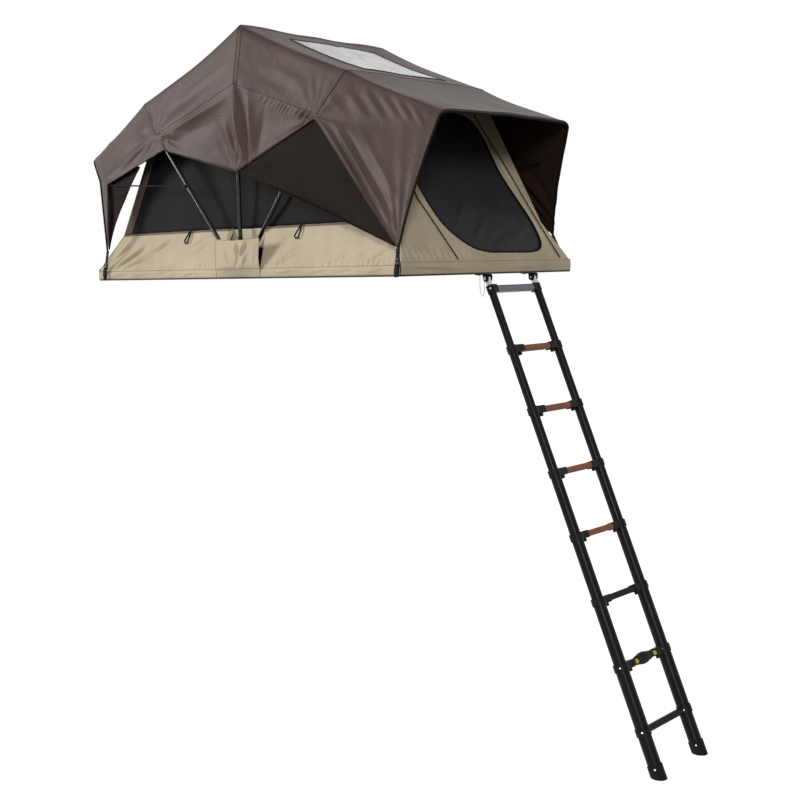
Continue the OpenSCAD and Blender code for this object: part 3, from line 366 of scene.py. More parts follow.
def moulded(name, colour, roughness, grain_mm=0.8, strength=0.15, metallic=0.0,
            stretch=NO_STRETCH, gloss=0.2):
    """A hard finish of one colour, slightly worn, over a fine grain."""
    finish, tree, shader = new_finish(name, roughness, metallic, Specular_IOR_Level=gloss)
    place = add_node(tree, "ShaderNodeTexCoord")
    turned = add_node(tree, "ShaderNodeMapping", {"Vector": place.outputs["Object"], "Scale": stretch})
    grain = add_node(tree, "ShaderNodeTexNoise",
                     {"Vector": turned.outputs["Vector"], "Scale": 1 / (grain_mm * MM), "Detail": 3.0})
    worn = add_node(tree, "ShaderNodeTexNoise",
                    {"Vector": turned.outputs["Vector"], "Scale": 1 / WEAR_SIZE, "Detail": 5.0})
    tint = add_node(tree, "ShaderNodeHueSaturation", {"Color": linear(colour), "Value": 1.0})
    value = add_node(tree, "ShaderNodeMapRange",
                     {"Value": worn.outputs["Fac"], "From Min": WEAR_FROM, "From Max": WEAR_TO,
                      "To Min": 1 - WEAR_TONE, "To Max": 1 + WEAR_TONE})
    shine = add_node(tree, "ShaderNodeMapRange",
                     {"Value": worn.outputs["Fac"], "From Min": WEAR_FROM, "From Max": WEAR_TO,
                      "To Min": roughness - WEAR_ROUGH, "To Max": roughness + WEAR_ROUGH})
    bump = add_node(tree, "ShaderNodeBump",
                    {"Height": grain.outputs["Fac"], "Strength": strength, "Distance": GRAIN_DEPTH})
    tree.links.new(value.outputs["Result"], tint.inputs["Value"])
    tree.links.new(tint.outputs["Color"], shader.inputs["Base Color"])
    tree.links.new(shine.outputs["Result"], shader.inputs["Roughness"])
    tree.links.new(bump.outputs["Normal"], shader.inputs["Normal"])
    return finish


print("grain is stretched", round(1 / DRAWN[2], 1), "times along drawn tubes")

# %% [markdown]
# The black of anodising is a dye in a clear layer on the metal. It reads as a dark gloss, not as a
# mirror, so those tubes aren't metallic here. Bare steel is.

# %% Hard finishes
# Black anodised tube: deep black with thin bright lines along it
ladder_tube = moulded("anodised_aluminium_black", "#121214", 0.3, 0.6, 0.1, 0.0, DRAWN, 0.1)
# Cast aluminium: grey, half way to a mirror
ladder_grey = moulded("cast_aluminium_grey", "#6f6c74", 0.42, 0.8, 0.15, 0.6)
# Moulded plastics: black, soft highlights on their edges
collar_nylon = moulded("glass_filled_nylon_black", "#151517", 0.42, gloss=0.1)
rung_nylon = moulded("ribbed_polypropylene_black", "#171719", 0.45, gloss=0.1)
rung_tread = moulded("ribbed_polypropylene_brown", "#945c4a", 0.55)
# Rubber: matt, with a coarser grain
grip_rubber = moulded("moulded_rubber_black", "#1d1d20", 0.6, 1.2, 0.3, gloss=0.12)
foot_rubber = moulded("moulded_rubber_sole", "#151517", 0.7, 1.2, 0.35, gloss=0.12)
# ABS: a clear yellow, smooth from the mould
button_abs = moulded("abs_yellow", "#c6c132", 0.35, 1.0, 0.08)
# Bare metal: bright, it mirrors the white studio
zinc_steel = moulded("zinc_plated_steel", "#b9bcc0", 0.32, 0.5, 0.1, 1.0)
rivet_steel = moulded("polished_rivet_steel", "#dcdee0", 0.25, 0.5, 0.05, 1.0)
# Coated metal: black, powder coat with a fine orange peel and anodising with a sharp sheen
powder_steel = moulded("powder_coated_steel_black", "#101011", 0.45, 1.2, 0.25, gloss=0.06)
bow_metal = moulded("anodised_aluminium_bow", "#0b0b0d", 0.16, 0.6, 0.05, 0.0, DRAWN, 0.4)
rail_metal = moulded("anodised_aluminium_rail", "#1a1a1c", 0.36, 0.6, 0.12)
# Laminated panel: plain mid grey
panel_board = moulded("laminated_panel_grey", "#8d8f92", 0.55, 1.5, 0.15)
# Small plastic fittings and the wire's clear coat
buckle_acetal = moulded("acetal_black", "#161618", 0.38)
zip_nylon = moulded("zip_coil_nylon", "#151211", 0.6, gloss=0.1)
wire_coat = moulded("coated_wire_grey", "#8e9196", 0.35, 0.5, 0.05, 0.6)
for piece in lanyards:
    piece.data.materials.append(wire_coat)
print("finishes in all", len(bpy.data.materials))

# %% [markdown]
# ## Finishes on the ready-made parts
# A frame part keeps its shape and only swaps its finish. The record says which finish slot a part
# belongs to, so one table from slot to finish covers all of them.

# %% Dress the frame
SLOT_FINISH = {
    "floor_core": panel_board, "rail_black": rail_metal, "mattress_cover": mattress_cloth,
    "steel": zinc_steel, "hinge_black": powder_steel, "webbing": webbing, "wall_canvas": wall_canvas,
    "insect_mesh": net_cloth_painted_shade, "fly_fabric": fly_canvas, "flap_fabric": flap_painted_shade_cloth,
    "clear_film": clear_film, "bow_tube": bow_metal, "fitting_black": collar_nylon,
    "ladder_tube": ladder_tube, "ladder_grey": ladder_grey, "collar_black": collar_nylon,
    "rung_brown": rung_tread, "rung_black": rung_nylon, "grip_rubber": grip_rubber,
    "button_yellow": button_abs, "foot_rubber": foot_rubber,
}
# The links that carry the ladder are left bare
BARE_LINKS = "ladder_links"
for subpart in frame["record"]["subparts"]:
    part = frame["nodes"][subpart["node"]]
    finish = zinc_steel if subpart["node"] == BARE_LINKS else SLOT_FINISH[subpart["material_slot"]]
    if not part.material_slots:
        part.data.materials.append(finish)
    for place in part.material_slots:
        place.material = finish

# %% [markdown]
# ## How cloth is made here
# A sewn sheet starts as a flat grid of quads. Each grid point is then put where the cloth goes,
# so the grid's rows and columns become the cloth's threads and seams can follow them. Its
# thickness is a Solidify modifier that grows inwards, so the outer face stays where it is drawn.

# %% Sheet helpers
CLOTH_T = 1.6 * MM


def add_piece(name, bm, *finishes):
    """Puts a bmesh into the scene as a piece, moved from the fold line to the frame."""
    bmesh.ops.translate(bm, verts=bm.verts, vec=(FOLD_X, 0, 0))
    mesh = bpy.data.meshes.new(name)
    for face in bm.faces:
        face.smooth = True
    bm.to_mesh(mesh)
    bm.free()
    for finish in finishes:
        mesh.materials.append(finish)
    piece = bpy.data.objects.new(name, mesh)
    scene.collection.objects.link(piece)
    return piece


def sheet_mesh(points):
    """A grid of quads over an array of points, columns by rows, with its UV map in metres."""
    columns, rows = points.shape[0] - 1, points.shape[1] - 1
    long = np.linalg.norm(np.diff(points, axis=0), axis=2).sum(axis=0).max()
    wide = np.linalg.norm(np.diff(points, axis=1), axis=2).sum(axis=1).max()
    bm = bmesh.new()
    uv = bm.loops.layers.uv.new("UVMap")
    # The grid is made one unit wide, so a place on it is a share of the sheet
    bmesh.ops.create_grid(bm, x_segments=columns, y_segments=rows, size=0.5)
    for face in bm.faces:
        for loop in face.loops:
            loop[uv].uv = ((loop.vert.co.x + 0.5) * long, (loop.vert.co.y + 0.5) * wide)
    for vert in bm.verts:
        i = round((vert.co.x + 0.5) * columns)
        j = round((vert.co.y + 0.5) * rows)
        vert.co = points[i, j]
    return bm


def thicken(piece, thickness=CLOTH_T, inner=0):
    """Gives a sheet its thickness. inner steps on to the finish of its inner face."""
    wall = piece.modifiers.new("thickness", "SOLIDIFY")
    wall.thickness = thickness
    wall.offset = -1
    wall.material_offset = inner


def far_side(points):
    """The same sheet on the far side of the tent, its columns turned round to keep its face out."""
    return points[::-1] * np.array([1, -1, 1])


print("cloth is", CLOTH_T / MM, "mm thick")

# %% [markdown]
# ### Cloth that folds with the tent
# When the tent folds, the cloth fans out about the fold line, as a hand fan does between its
# ribs. A straight blend from one floor half to the other would shear it, so each point's share of
# the turn comes from its angle about the fold line, with the same shares as the three bows.

# %% Fan with the bows
AXIS_Z = 0.110
BOW_ANGLES = [0, 49, 90, 133, 180]
BOW_SHARES = [1, 0.72668, 0.50571, 0.27235, 0]


def fan_with_bows(piece):
    """Fans the cloth out with the bows when the tent folds."""
    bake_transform(piece, "car_base", "ladder_base", (FOLD_X - 0.5, 0, AXIS_Z), (FOLD_X + 0.5, 0, AXIS_Z))
    count = len(piece.data.vertices)
    places = np.zeros(count * 3)
    piece.data.vertices.foreach_get("co", places)
    places = places.reshape(-1, 3)
    turn = np.degrees(np.arctan2(np.maximum(places[:, 2] - AXIS_Z, 0), places[:, 0] - FOLD_X))
    shares = np.interp(turn, BOW_ANGLES, BOW_SHARES).astype(np.float32)
    piece.data.attributes["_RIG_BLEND"].data.foreach_set("value", shares)


print("bows at", BOW_ANGLES[1:-1], "degrees turn by shares of", BOW_SHARES[1:-1])

# %% [markdown]
# ### Folds and seams
# A fold could be pulled with a brush, but a lesson needs folds that come out the same each time.
# Here a fold is a ridge along a line, rounded across it and sinking to its ends. Fine folds fan out
# from each tie. Seams are round tubes along rows of points.

# %% Fold helpers
FOLD_END = 0.15
FOLD_ROUND = 1.5
FOLD_TRIM = 0.02
FAN_BEND = 0.12


def normals_of(points):
    """The way that each point of a sheet faces."""
    along = np.gradient(points, axis=0)
    over = np.gradient(points, axis=1)
    normal = np.cross(along, over)
    return normal / np.maximum(np.linalg.norm(normal, axis=2, keepdims=True), 1e-9)


def folds(x, z, lines):
    """Height of the folds at (x, z). A fold is its two ends, its half width and its height."""
    height = np.zeros_like(x)
    for (x0, z0), (x1, z1), width, rise in lines:
        run = np.array([x1 - x0, z1 - z0])
        t = np.clip(((x - x0) * run[0] + (z - z0) * run[1]) / (run @ run), 0, 1)
        off = np.hypot(x - x0 - t * run[0], z - z0 - t * run[1])
        body = np.sin(np.pi * np.clip(t, FOLD_TRIM, 1 - FOLD_TRIM))
        across_it = np.exp(-(off / width) ** FOLD_ROUND)
        height += rise * across_it * (FOLD_END + (1 - FOLD_END) * body)
    return height


def fan(x, z, anchor, count, rise, reach):
    """Fine folds that fan out from a place where the cloth is pulled, highest at its reach."""
    away = np.hypot(x - anchor[0], z - anchor[1])
    turn = np.arctan2(x - anchor[0], z - anchor[1])
    bent = turn + FAN_BEND * np.sin(3 * turn)
    return rise * np.sin(count * bent) * (away / reach) * np.exp(1 - away / reach)


PIPING_ROUNDING = 2


def piping(name, lines, radius, finish, closed=False):
    """A thin round seam or cord along lines of points."""
    placed = [np.asarray(line) + [FOLD_X, 0, 0] for line in lines]
    mesh = tube_mesh(name, placed, radius, PIPING_ROUNDING, closed)
    mesh.materials.clear()
    mesh.materials.append(finish)
    if not mesh.uv_layers:
        mesh.uv_layers.new(name="UVMap")
    piece = bpy.data.objects.new(name, mesh)
    scene.collection.objects.link(piece)
    return piece


print("a fold keeps", FOLD_END, "of its height at its ends")

# %% [markdown]
# ## Fly sheet
# The fly is one continuous sheet that lies over the three bows and reaches out to an awning at
# each end. A simulation could drape it, but the real one is pulled tight by its bows and ties, so
# the sheet is laid through the same lines as the bows, with a slight sag between them. Each line
# across the fly has four corners: hem, shoulder, crest and middle. A bow is its angle about the
# fold line, its offset from that line, its half width and its heights at shoulder and crest.

# %% Fly over the bows
BOW_LEAN = 0.046
SIDE_OFF = 0.014
CAR_BOW = (130.5, -0.049, 0.579, 0.871, 1.105)
MID_BOW = (90, 0, 0.555, 0.826, 1.097)
LADDER_BOW = (51, 0.034, 0.531, 0.832, 1.065)


def bow_point(bow, s, y):
    """A place at a distance s along a bow's leg, at a given y."""
    angle = math.radians(bow[0])
    return np.array([
        s * math.cos(angle) + bow[1] * math.sin(angle),
        y,
        AXIS_Z + s * math.sin(angle) - bow[1] * math.cos(angle),
    ])


def bow_line(bow, hem, off):
    """The fly's line over a bow, from its hem to the middle, a little off the tube."""
    leg, shoulder, crest = bow[2:]
    crest_y = leg - BOW_LEAN + SIDE_OFF
    return np.array([
        hem,
        bow_point(bow, shoulder + off / 3, -leg - SIDE_OFF),
        bow_point(bow, crest + off, -crest_y),
        bow_point(bow, crest + off, 0),
    ])


tie = np.array([0, -0.569, 0.521])
car_hem = bow_point(CAR_BOW, 0.776, -0.5998)
ladder_hem = bow_point(LADDER_BOW, 0.8225, -0.545)
car_line = bow_line(CAR_BOW, car_hem, 0.024)
mid_line = bow_line(MID_BOW, tie, 0.025)
ladder_line = bow_line(LADDER_BOW, ladder_hem, 0.023)
print("crest of the middle bow at", round(mid_line[3, 2], 3))

# %% [markdown]
# Past the outer bows the fly reaches out to an awning over each end. Rods hold the awnings out, and
# the corner ties pull their tips down. Their edges end in a narrow lip that is turned down.

# %% Awning lines
ROD_RISE = math.radians(3.7)
ROD_REACH = 0.680
ROD_LIFT = 0.690 * math.sin(ROD_RISE) + 0.005
rod_foot = bow_point(CAR_BOW, 0.520, -0.6038)
rod_tip = rod_foot + [-ROD_REACH * math.cos(ROD_RISE), 0, ROD_LIFT]
car_flap = np.array([-1.036, -0.634, 0.160])
near_tip = np.array([1.136, -0.634, 0.122])
# The far tip is tied down shorter in the photograph, so it sits further back and higher
far_tip = np.array([1.040, -0.620, 0.185])
ladder_corner = np.array([1.245, -0.469, 0.703])
ladder_middle = np.array([1.245, 0, 0.722])
LIP = np.array([[0.002, 0, -0.001], [0.002, 0, -0.001], [0.006, 0, -0.012], [0.006, 0, -0.012]])
STRIP_SHARE = 0.12
car_kink = rod_tip + [-0.062, -0.002, 0.018]
car_edge = np.array([car_flap, car_kink, [-1.385, -0.469, 0.706], [-1.385, 0, 0.712]])
car_lip = car_edge + LIP * [-1, 1, 1]
car_strip = np.array([
    rod_tip,
    car_kink + [0.040, 0, 0.014],
    car_edge[2] + (car_line[2] - car_edge[2]) * STRIP_SHARE,
    car_edge[3] + (car_line[3] - car_edge[3]) * STRIP_SHARE,
])
print("awnings from", round(car_lip[3, 0], 3), "to", round(ladder_middle[0], 3))

# %% [markdown]
# Between two lines the columns of the grid are spaced evenly and sag like cloth between two bows.
# The edge over the door is also drawn in a little between its tip and its kink.

# %% Fly grid
FLY_COLUMNS = [2, 8, 40, 66, 76, 84, 2]
FLY_SAGS = [0, 0, 1, 1, 1, 1, 0]
FLY_ROWS = [40, 16, 18]
ROOF_SAG = 0.014
SAG_WAY = np.array([[0, 0, 0], [0, 0.5, 0], [0, 0.5, -1], [0, 0, -1]])
KINK_AT = 0.19
FRONT_BOW = 0.012
FRONT_FROM, FRONT_OVER = 0.9, 0.3
CREST_CROWDING = 1.5


def fly_net(tip, lift):
    """Points of one half of the fly, columns by rows from the hem to the middle."""
    corner = ladder_corner + [0, 0, lift]
    kink = corner + (tip - corner) * KINK_AT
    ladder_edge = np.array([tip, kink, corner, ladder_middle])
    ladder_lip = ladder_edge + LIP
    lines = [car_lip, car_edge, car_strip, car_line, mid_line, ladder_line, ladder_edge, ladder_lip]
    columns = []
    for k, count in enumerate(FLY_COLUMNS):
        last = k == len(FLY_COLUMNS) - 1
        for i in range(count + (1 if last else 0)):
            t = i / count
            line = lines[k] * (1 - t) + lines[k + 1] * t
            sag = 4 * t * (1 - t) * ROOF_SAG * FLY_SAGS[k]
            line = line + sag * SAG_WAY
            column = []
            hollow = FRONT_BOW * max(0, line[1, 0] - FRONT_FROM) / FRONT_OVER
            for j, rows in enumerate(FLY_ROWS):
                for r in range(rows):
                    # Rows lie closer together by the crest, where the cloth turns
                    share = (r / rows) ** CREST_CROWDING if j == 2 else r / rows
                    place = line[j] + (line[j + 1] - line[j]) * share
                    if j == 0:
                        place = place - [4 * r / rows * (1 - r / rows) * hollow, 0, 0]
                    column.append(place)
            column.append(line[3])
            columns.append(column)
    return np.array(columns)


NEAR_LIFT, FAR_LIFT = 0.010, 0.022
fly_near = fly_net(near_tip, NEAR_LIFT)
fly_far = fly_net(far_tip, FAR_LIFT)
print("fly half", fly_near.shape)

# %% [markdown]
# ### Folds of the fly
# Cloth that hangs from its ties falls into folds that fan out from them. Each fold is a line on
# the side of the tent, from one (x, z) to another, with a width and a height, read from the
# photograph: ridges are positive, valleys negative.

# %% Fly folds
SIDE_FOLDS = [
    ((0.022, 0.935), (0.095, 0.560), 0.016, -0.028),
    ((0.100, 0.890), (0.128, 0.580), 0.030, 0.015),
    ((0.215, 0.826), (0.160, 0.605), 0.024, -0.006),
    ((-0.015, 0.850), (0.066, 0.560), 0.020, 0.016),
    ((-0.050, 0.790), (0.034, 0.570), 0.010, -0.008),
    ((-0.085, 0.770), (0.012, 0.572), 0.014, 0.007),
    ((-0.150, 0.780), (-0.030, 0.574), 0.026, -0.005),
    ((-0.590, 0.728), (-0.040, 0.890), 0.026, 0.013),
    ((-0.560, 0.690), (-0.100, 0.790), 0.040, -0.006),
    ((-0.548, 0.745), (-0.528, 0.698), 0.010, -0.006),
    ((-0.508, 0.752), (-0.484, 0.706), 0.009, -0.005),
    ((-0.600, 0.775), (-0.250, 0.905), 0.012, 0.005),
    ((-0.530, 0.850), (-0.180, 0.990), 0.014, -0.005),
    ((-0.420, 0.915), (-0.080, 1.050), 0.014, 0.005),
    ((0.120, 0.985), (0.420, 0.860), 0.018, -0.004),
    ((0.200, 1.010), (0.500, 0.880), 0.018, 0.004),
    ((0.600, 0.852), (0.700, 0.745), 0.010, 0.004),
    ((0.655, 0.850), (0.775, 0.715), 0.011, -0.004),
    ((0.715, 0.848), (0.850, 0.700), 0.010, 0.006),
    ((0.760, 0.846), (0.880, 0.712), 0.009, -0.006),
    ((0.805, 0.842), (0.950, 0.690), 0.010, 0.007),
    ((0.848, 0.836), (0.965, 0.706), 0.009, -0.006),
    ((0.890, 0.826), (1.030, 0.680), 0.010, 0.008),
    ((0.935, 0.812), (1.040, 0.700), 0.008, -0.006),
    ((0.975, 0.800), (1.105, 0.664), 0.010, 0.008),
    ((1.018, 0.782), (1.112, 0.684), 0.008, -0.006),
    ((1.060, 0.765), (1.168, 0.648), 0.009, 0.007),
    ((1.100, 0.745), (1.176, 0.662), 0.008, -0.005),
    ((0.600, 0.700), (1.090, 0.168), 0.011, 0.013),
    ((0.636, 0.694), (1.094, 0.184), 0.009, -0.012),
    ((0.676, 0.684), (1.097, 0.204), 0.011, 0.011),
    ((0.735, 0.668), (1.104, 0.240), 0.013, -0.008),
    ((0.830, 0.645), (1.118, 0.300), 0.020, 0.006),
    ((-0.651, 0.751), (-0.948, 0.583), 0.018, 0.009),
    ((-0.630, 0.790), (-0.990, 0.630), 0.018, -0.007),
    ((-0.660, 0.840), (-1.060, 0.665), 0.022, 0.006),
    ((-0.700, 0.885), (-1.150, 0.700), 0.024, -0.005),
]
# Fans of fine folds: where they start, how many, their height and how far out they are highest
TIE_FANS = [
    ((0, 0.521), 11, 0.0016, 0.10),
    ((1.136, 0.122), 23, 0.0025, 0.12),
    ((0.55, 0.737), 14, 0.0018, 0.07),
    ((-0.61, 0.751), 13, 0.0020, 0.10),
]
print("folds on a side of the fly", len(SIDE_FOLDS))

# %% [markdown]
# Puckers along the piped seam come from stitching that is pulled tight. They are a wave along the
# seam whose step and depth vary, so that no two look alike.

# %% Seam puckers
PUCKER_SEAM = ((0.080, 0.905), (0.560, 0.737))
PUCKER_STEP = 0.029
PUCKER_DEPTH = 0.009
PUCKER_BELOW = 0.016
PUCKER_HALF, PUCKER_VARY = 0.019, 0.007


def puckers(x, z):
    """Short uneven puckers below the seam, deepest towards the shoulder of the ladder bow."""
    (x0, z0), (x1, z1) = PUCKER_SEAM
    run = np.array([x1 - x0, z1 - z0])
    span = np.linalg.norm(run)
    s = ((x - x0) * run[0] + (z - z0) * run[1]) / span
    off = ((x - x0) * run[1] - (z - z0) * run[0]) / span
    half = PUCKER_HALF + PUCKER_VARY * np.sin(31 * s)
    near = np.exp(-((off - PUCKER_BELOW) / half) ** 2) * (s > 0) * (s < span)
    grow = np.clip(s / span, 0, 1) ** 1.3 * (0.6 + 0.4 * np.sin(47 * s + 1))
    wave = np.sin(2 * np.pi * (s + 0.5 * off) / PUCKER_STEP + 2.4 * np.sin(23 * s))
    return PUCKER_DEPTH * grow * near * wave


print("puckers along the seam", round(math.dist(*PUCKER_SEAM) / PUCKER_STEP))

# %% [markdown]
# The folds fade out towards the crest, and the roof gets a slow slack of its own. Then rows near
# the crest and the shoulder are averaged with their neighbours a few times, which rounds the cloth
# where it goes over a tube. The awning corners take many more turns, because no tube holds them.

# %% Folded fly
FOLD_FADE_ROWS = 8
SLACK_1, SLACK_2, FLUTTER = 0.003, 0.002, 0.0015
FLUTTER_FROM, FLUTTER_OVER = 0.80, 0.35
AWNING_FROM, AWNING_OVER = 0.95, 0.25
TUBE_TURNS, ALL_TURNS = 4, 44
CREST_SPREAD, SHOULDER_SPREAD, AWNING_SPREAD = 2.6, 1.5, 4.5


def fold_fly(points):
    """The fly with its folds, and with its crest and shoulder rounded."""
    x, y, z = points[..., 0], points[..., 1], points[..., 2]
    rows = np.arange(points.shape[1])
    crest_row = FLY_ROWS[0] + FLY_ROWS[1]
    side = np.clip((crest_row - rows) / FOLD_FADE_ROWS, 0, 1)[None, :]
    roof = 1 - side
    fine = sum(fan(x, z, *settings) for settings in TIE_FANS)
    raised = (folds(x, z, SIDE_FOLDS) + puckers(x, z) + fine) * side
    slack = SLACK_1 * np.sin(9 * x + 5 * y) * np.sin(4 * x - 11 * y)
    slack = slack + SLACK_2 * np.sin(17 * x + 2) * np.sin(13 * y)
    edge = np.clip((np.abs(x) - FLUTTER_FROM) / FLUTTER_OVER, 0, 1)
    flutter = FLUTTER * edge * np.sin(23 * y + 6 * x)
    raised = raised + (slack + flutter) * roof
    out = points + normals_of(points) * raised[..., None]
    from_crest = rows[1:-1] - crest_row
    from_shoulder = rows[1:-1] - FLY_ROWS[0]
    crest_share = np.exp(-(from_crest / CREST_SPREAD) ** 2)
    shoulder_share = 0.5 * np.exp(-(from_shoulder / SHOULDER_SPREAD) ** 2)
    tube_share = np.maximum(crest_share, shoulder_share)[None, :]
    awning = np.clip((np.abs(x[:, :1]) - AWNING_FROM) / AWNING_OVER, 0, 1)
    awning_share = awning * np.exp(-(from_crest / AWNING_SPREAD) ** 2)[None, :]
    for turn in range(ALL_TURNS):
        eased = (out[:, :-2] + 2 * out[:, 1:-1] + out[:, 2:]) / 4
        share = tube_share if turn < TUBE_TURNS else awning_share
        out[:, 1:-1] += (eased - out[:, 1:-1]) * share[..., None]
    return out


fly_near = fold_fly(fly_near)
fly_far = fold_fly(fly_far) * [1, -1, 1]
fly_points = np.concatenate([fly_near, fly_far[:, -2::-1]], axis=1)
print("fly points", fly_points.shape, "highest", round(fly_points[..., 2].max(), 3))

# %% [markdown]
# The skylight is a hole in the roof panel, so the quads there are deleted before the sheet gets
# its thickness. The inner face takes the darker brown, the outer one the brown canvas.

# %% Fly sheet
MID_COLUMN = sum(FLY_COLUMNS[:4])
SKY_COLUMNS = (MID_COLUMN + 15, MID_COLUMN + 66)
MIDDLE_ROW = sum(FLY_ROWS)
SKY_ROWS = (MIDDLE_ROW - 7, MIDDLE_ROW + 7)
ROOF_ABOVE = 0.85

bm = sheet_mesh(fly_points)
corners = [fly_points[i, j] for i in SKY_COLUMNS for j in SKY_ROWS]
sky_low_x, sky_high_x = min(c[0] for c in corners), max(c[0] for c in corners)
hole = []
for face in bm.faces:
    centre = face.calc_center_median()
    i = np.argmin(np.abs(fly_points[:, MIDDLE_ROW, 0] - centre.x))
    width = abs(fly_points[i, SKY_ROWS[0], 1])
    on_roof = centre.z > ROOF_ABOVE
    if on_roof and sky_low_x < centre.x < sky_high_x and abs(centre.y) < width:
        hole.append(face)
bmesh.ops.delete(bm, geom=hole, context="FACES")
fly = add_piece("fly", bm, fly_canvas, fly_inner_face)
thicken(fly, inner=1)
fan_with_bows(fly)
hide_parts("fly")
print("fly", len(fly.data.vertices), "points, skylight hole", len(hole), "faces")

# %% [markdown]
# ### Trim of the fly
# The awning edges are bound with black tape, the hem is turned and stitched, and the panels are
# joined by piped seams. All of them follow rows or columns of the fly, so they take their lines from
# its points. The numbered lines are those that the fly was laid through, counted from the car.

# %% Fly trim
CAR_EDGE, CAR_STRIP, OVER_CAR_BOW, OVER_MID_BOW, OVER_LADDER_BOW, LADDER_EDGE = range(1, 7)
OVER_BOWS = (OVER_CAR_BOW, OVER_MID_BOW, OVER_LADDER_BOW)
RIDGE_COLUMNS = 3
HEM_R = 2.6 * MM
TAPE_R = 5.5 * MM
SEAM_R = 1.4 * MM
RIDGE_R = 2.6 * MM
column_at = np.cumsum([0] + FLY_COLUMNS)
last_row = fly_points.shape[1] - 1
shoulder_row = FLY_ROWS[0]
crest_row = FLY_ROWS[0] + FLY_ROWS[1]
hem_lines = [fly_points[:, 0], fly_points[:, last_row]]
fly_binding = piping("fly_binding", hem_lines, HEM_R, seam_thread)
awning_binding = piping("awning_binding", [fly_points[0], fly_points[-1]], TAPE_R, binding)
seam_lines = []
between_bows = slice(column_at[OVER_CAR_BOW], column_at[OVER_LADDER_BOW] + 1)
between_awnings = slice(column_at[CAR_STRIP], column_at[LADDER_EDGE] + 1)
for mirror_row in (lambda j: j, lambda j: last_row - j):
    for station in OVER_BOWS:
        rows = [mirror_row(j) for j in range(shoulder_row, crest_row + 1)]
        seam_lines.append(fly_points[column_at[station], rows])
    seam_lines.append(fly_points[between_bows, mirror_row(shoulder_row)])
    seam_lines.append(fly_points[between_awnings, mirror_row(crest_row)])
for station in (CAR_EDGE, *OVER_BOWS, LADDER_EDGE):
    seam_lines.append(fly_points[column_at[station], crest_row:last_row - crest_row + 1])
# The ridge has a second seam beside the first, and a row of stitches runs along each hem
second_seam = column_at[OVER_MID_BOW] + RIDGE_COLUMNS
seam_lines.append(fly_points[second_seam, shoulder_row:last_row - shoulder_row + 1])
seam_lines.append(fly_points[2:-2, 1])
seam_lines.append(fly_points[2:-2, last_row - 1])
fly_seams = piping("fly_seams", seam_lines, SEAM_R, seam_thread)
# Thicker piping marks the bow by the ladder on both sides
by_ladder = fly_points[column_at[OVER_LADDER_BOW]]
ridge_lines = [
    by_ladder[shoulder_row:crest_row + 1],
    by_ladder[last_row - crest_row:last_row - shoulder_row + 1],
]
ridge_piping = piping("ridge_piping", ridge_lines, RIDGE_R, seam_thread)
for piece in (fly_binding, awning_binding, fly_seams, ridge_piping):
    fan_with_bows(piece)
print("seams", len(seam_lines))

# %% [markdown]
# ### Skylight
# A panel of clear film is sewn over the hole, a little larger than it, and bound all round. It is
# a piece of the fly's own grid, lifted off it, so it follows the roof's slack.

# %% Skylight
FILM_T = 0.8 * MM
FILM_LIFT = 1.5 * MM
FRAME_R = 3 * MM
film_columns = slice(SKY_COLUMNS[0] - 1, SKY_COLUMNS[1] + 2)
film_rows = slice(SKY_ROWS[0] - 1, SKY_ROWS[1] + 2)
film_points = (fly_points + normals_of(fly_points) * FILM_LIFT)[film_columns, film_rows]
skylight = add_piece("skylight", sheet_mesh(film_points), clear_film)
thicken(skylight, FILM_T)
fan_with_bows(skylight)
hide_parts("skylight")
frame_line = np.concatenate([
    film_points[:, 0], film_points[-1, 1:], film_points[::-1, -1][1:], film_points[0, ::-1][1:-1],
])
skylight_binding = piping("skylight_binding", [frame_line], FRAME_R, fly_canvas, closed=True)
fan_with_bows(skylight_binding)
print("skylight", film_points.shape)

# %% [markdown]
# ### Side flaps
# Two panels hang from the fly on each side, drawn near black with the shade they hang in painted
# in. One fills the triangle between the middle tie and the tip by the ladder, the other is gathered
# inside the awning rod at the car end. Each is a grid between two edges: u runs along them and v
# from the free edge up to the fly.

# %% Flap shapes
FLAP_TURN = 0.45
FLAP_PULL = 0.026
FLAP_WAVE = 0.005
FLAP_OUT = 0.003
GORE_TURN = 0.35
GORE_BOW = 0.055
GORE_Y = 0.5897
GORE_TIP_Y = 0.628
GORE_LOW_Z = 0.435
GORE_FROM = 0.43
GORE_WAVE = 0.004


def ladder_flap_points(u, v, tip):
    """A point of the flap by the ladder, between the fly's hem and the line from tie to tip."""
    if u < FLAP_TURN:
        top = tie + (ladder_hem - tie) * u / FLAP_TURN
    else:
        top = ladder_hem + (tip - ladder_hem) * (u - FLAP_TURN) / (1 - FLAP_TURN)
    low = tie + (tip - tie) * u + [0, FLAP_PULL * 4 * u * (1 - u), 0]
    point = low + (top - low) * v
    wave = math.sin(9 * u + 3 * v) * math.sin(math.pi * u) * math.sin(math.pi * v)
    point[1] += FLAP_OUT + FLAP_WAVE * wave
    return point


gore_start = car_hem + (rod_tip - car_hem) * GORE_FROM


def car_flap_points(u, v, tip):
    """A point of the flap at the car end, between the awning's edge and a bowed free edge."""
    down = max(0, u - GORE_TURN) / (1 - GORE_TURN)
    if u < GORE_TURN:
        outer = gore_start + (rod_tip - gore_start) * u / GORE_TURN
    else:
        outer = rod_tip + (tip - rod_tip) * down
    inner = gore_start + (tip - gore_start) * u - [GORE_BOW * 4 * u * (1 - u), 0, 0]
    # The panel runs on a little behind the edge of the fly, where it is sewn to it
    sewn = np.array([-0.010 - 0.034 * (1 - down), 0, 0.016])
    point = inner + (outer - inner) * v + sewn * v ** 4
    drop = min(1, max(0, (GORE_LOW_Z - point[2]) / (GORE_LOW_Z - car_flap[2])))
    point[1] = -GORE_Y - (GORE_TIP_Y - GORE_Y) * drop
    point[1] += GORE_WAVE * math.sin(11 * u) * math.sin(math.pi * v) + FLAP_OUT
    return point


print("the car end's flap starts at", [round(c, 3) for c in gore_start])

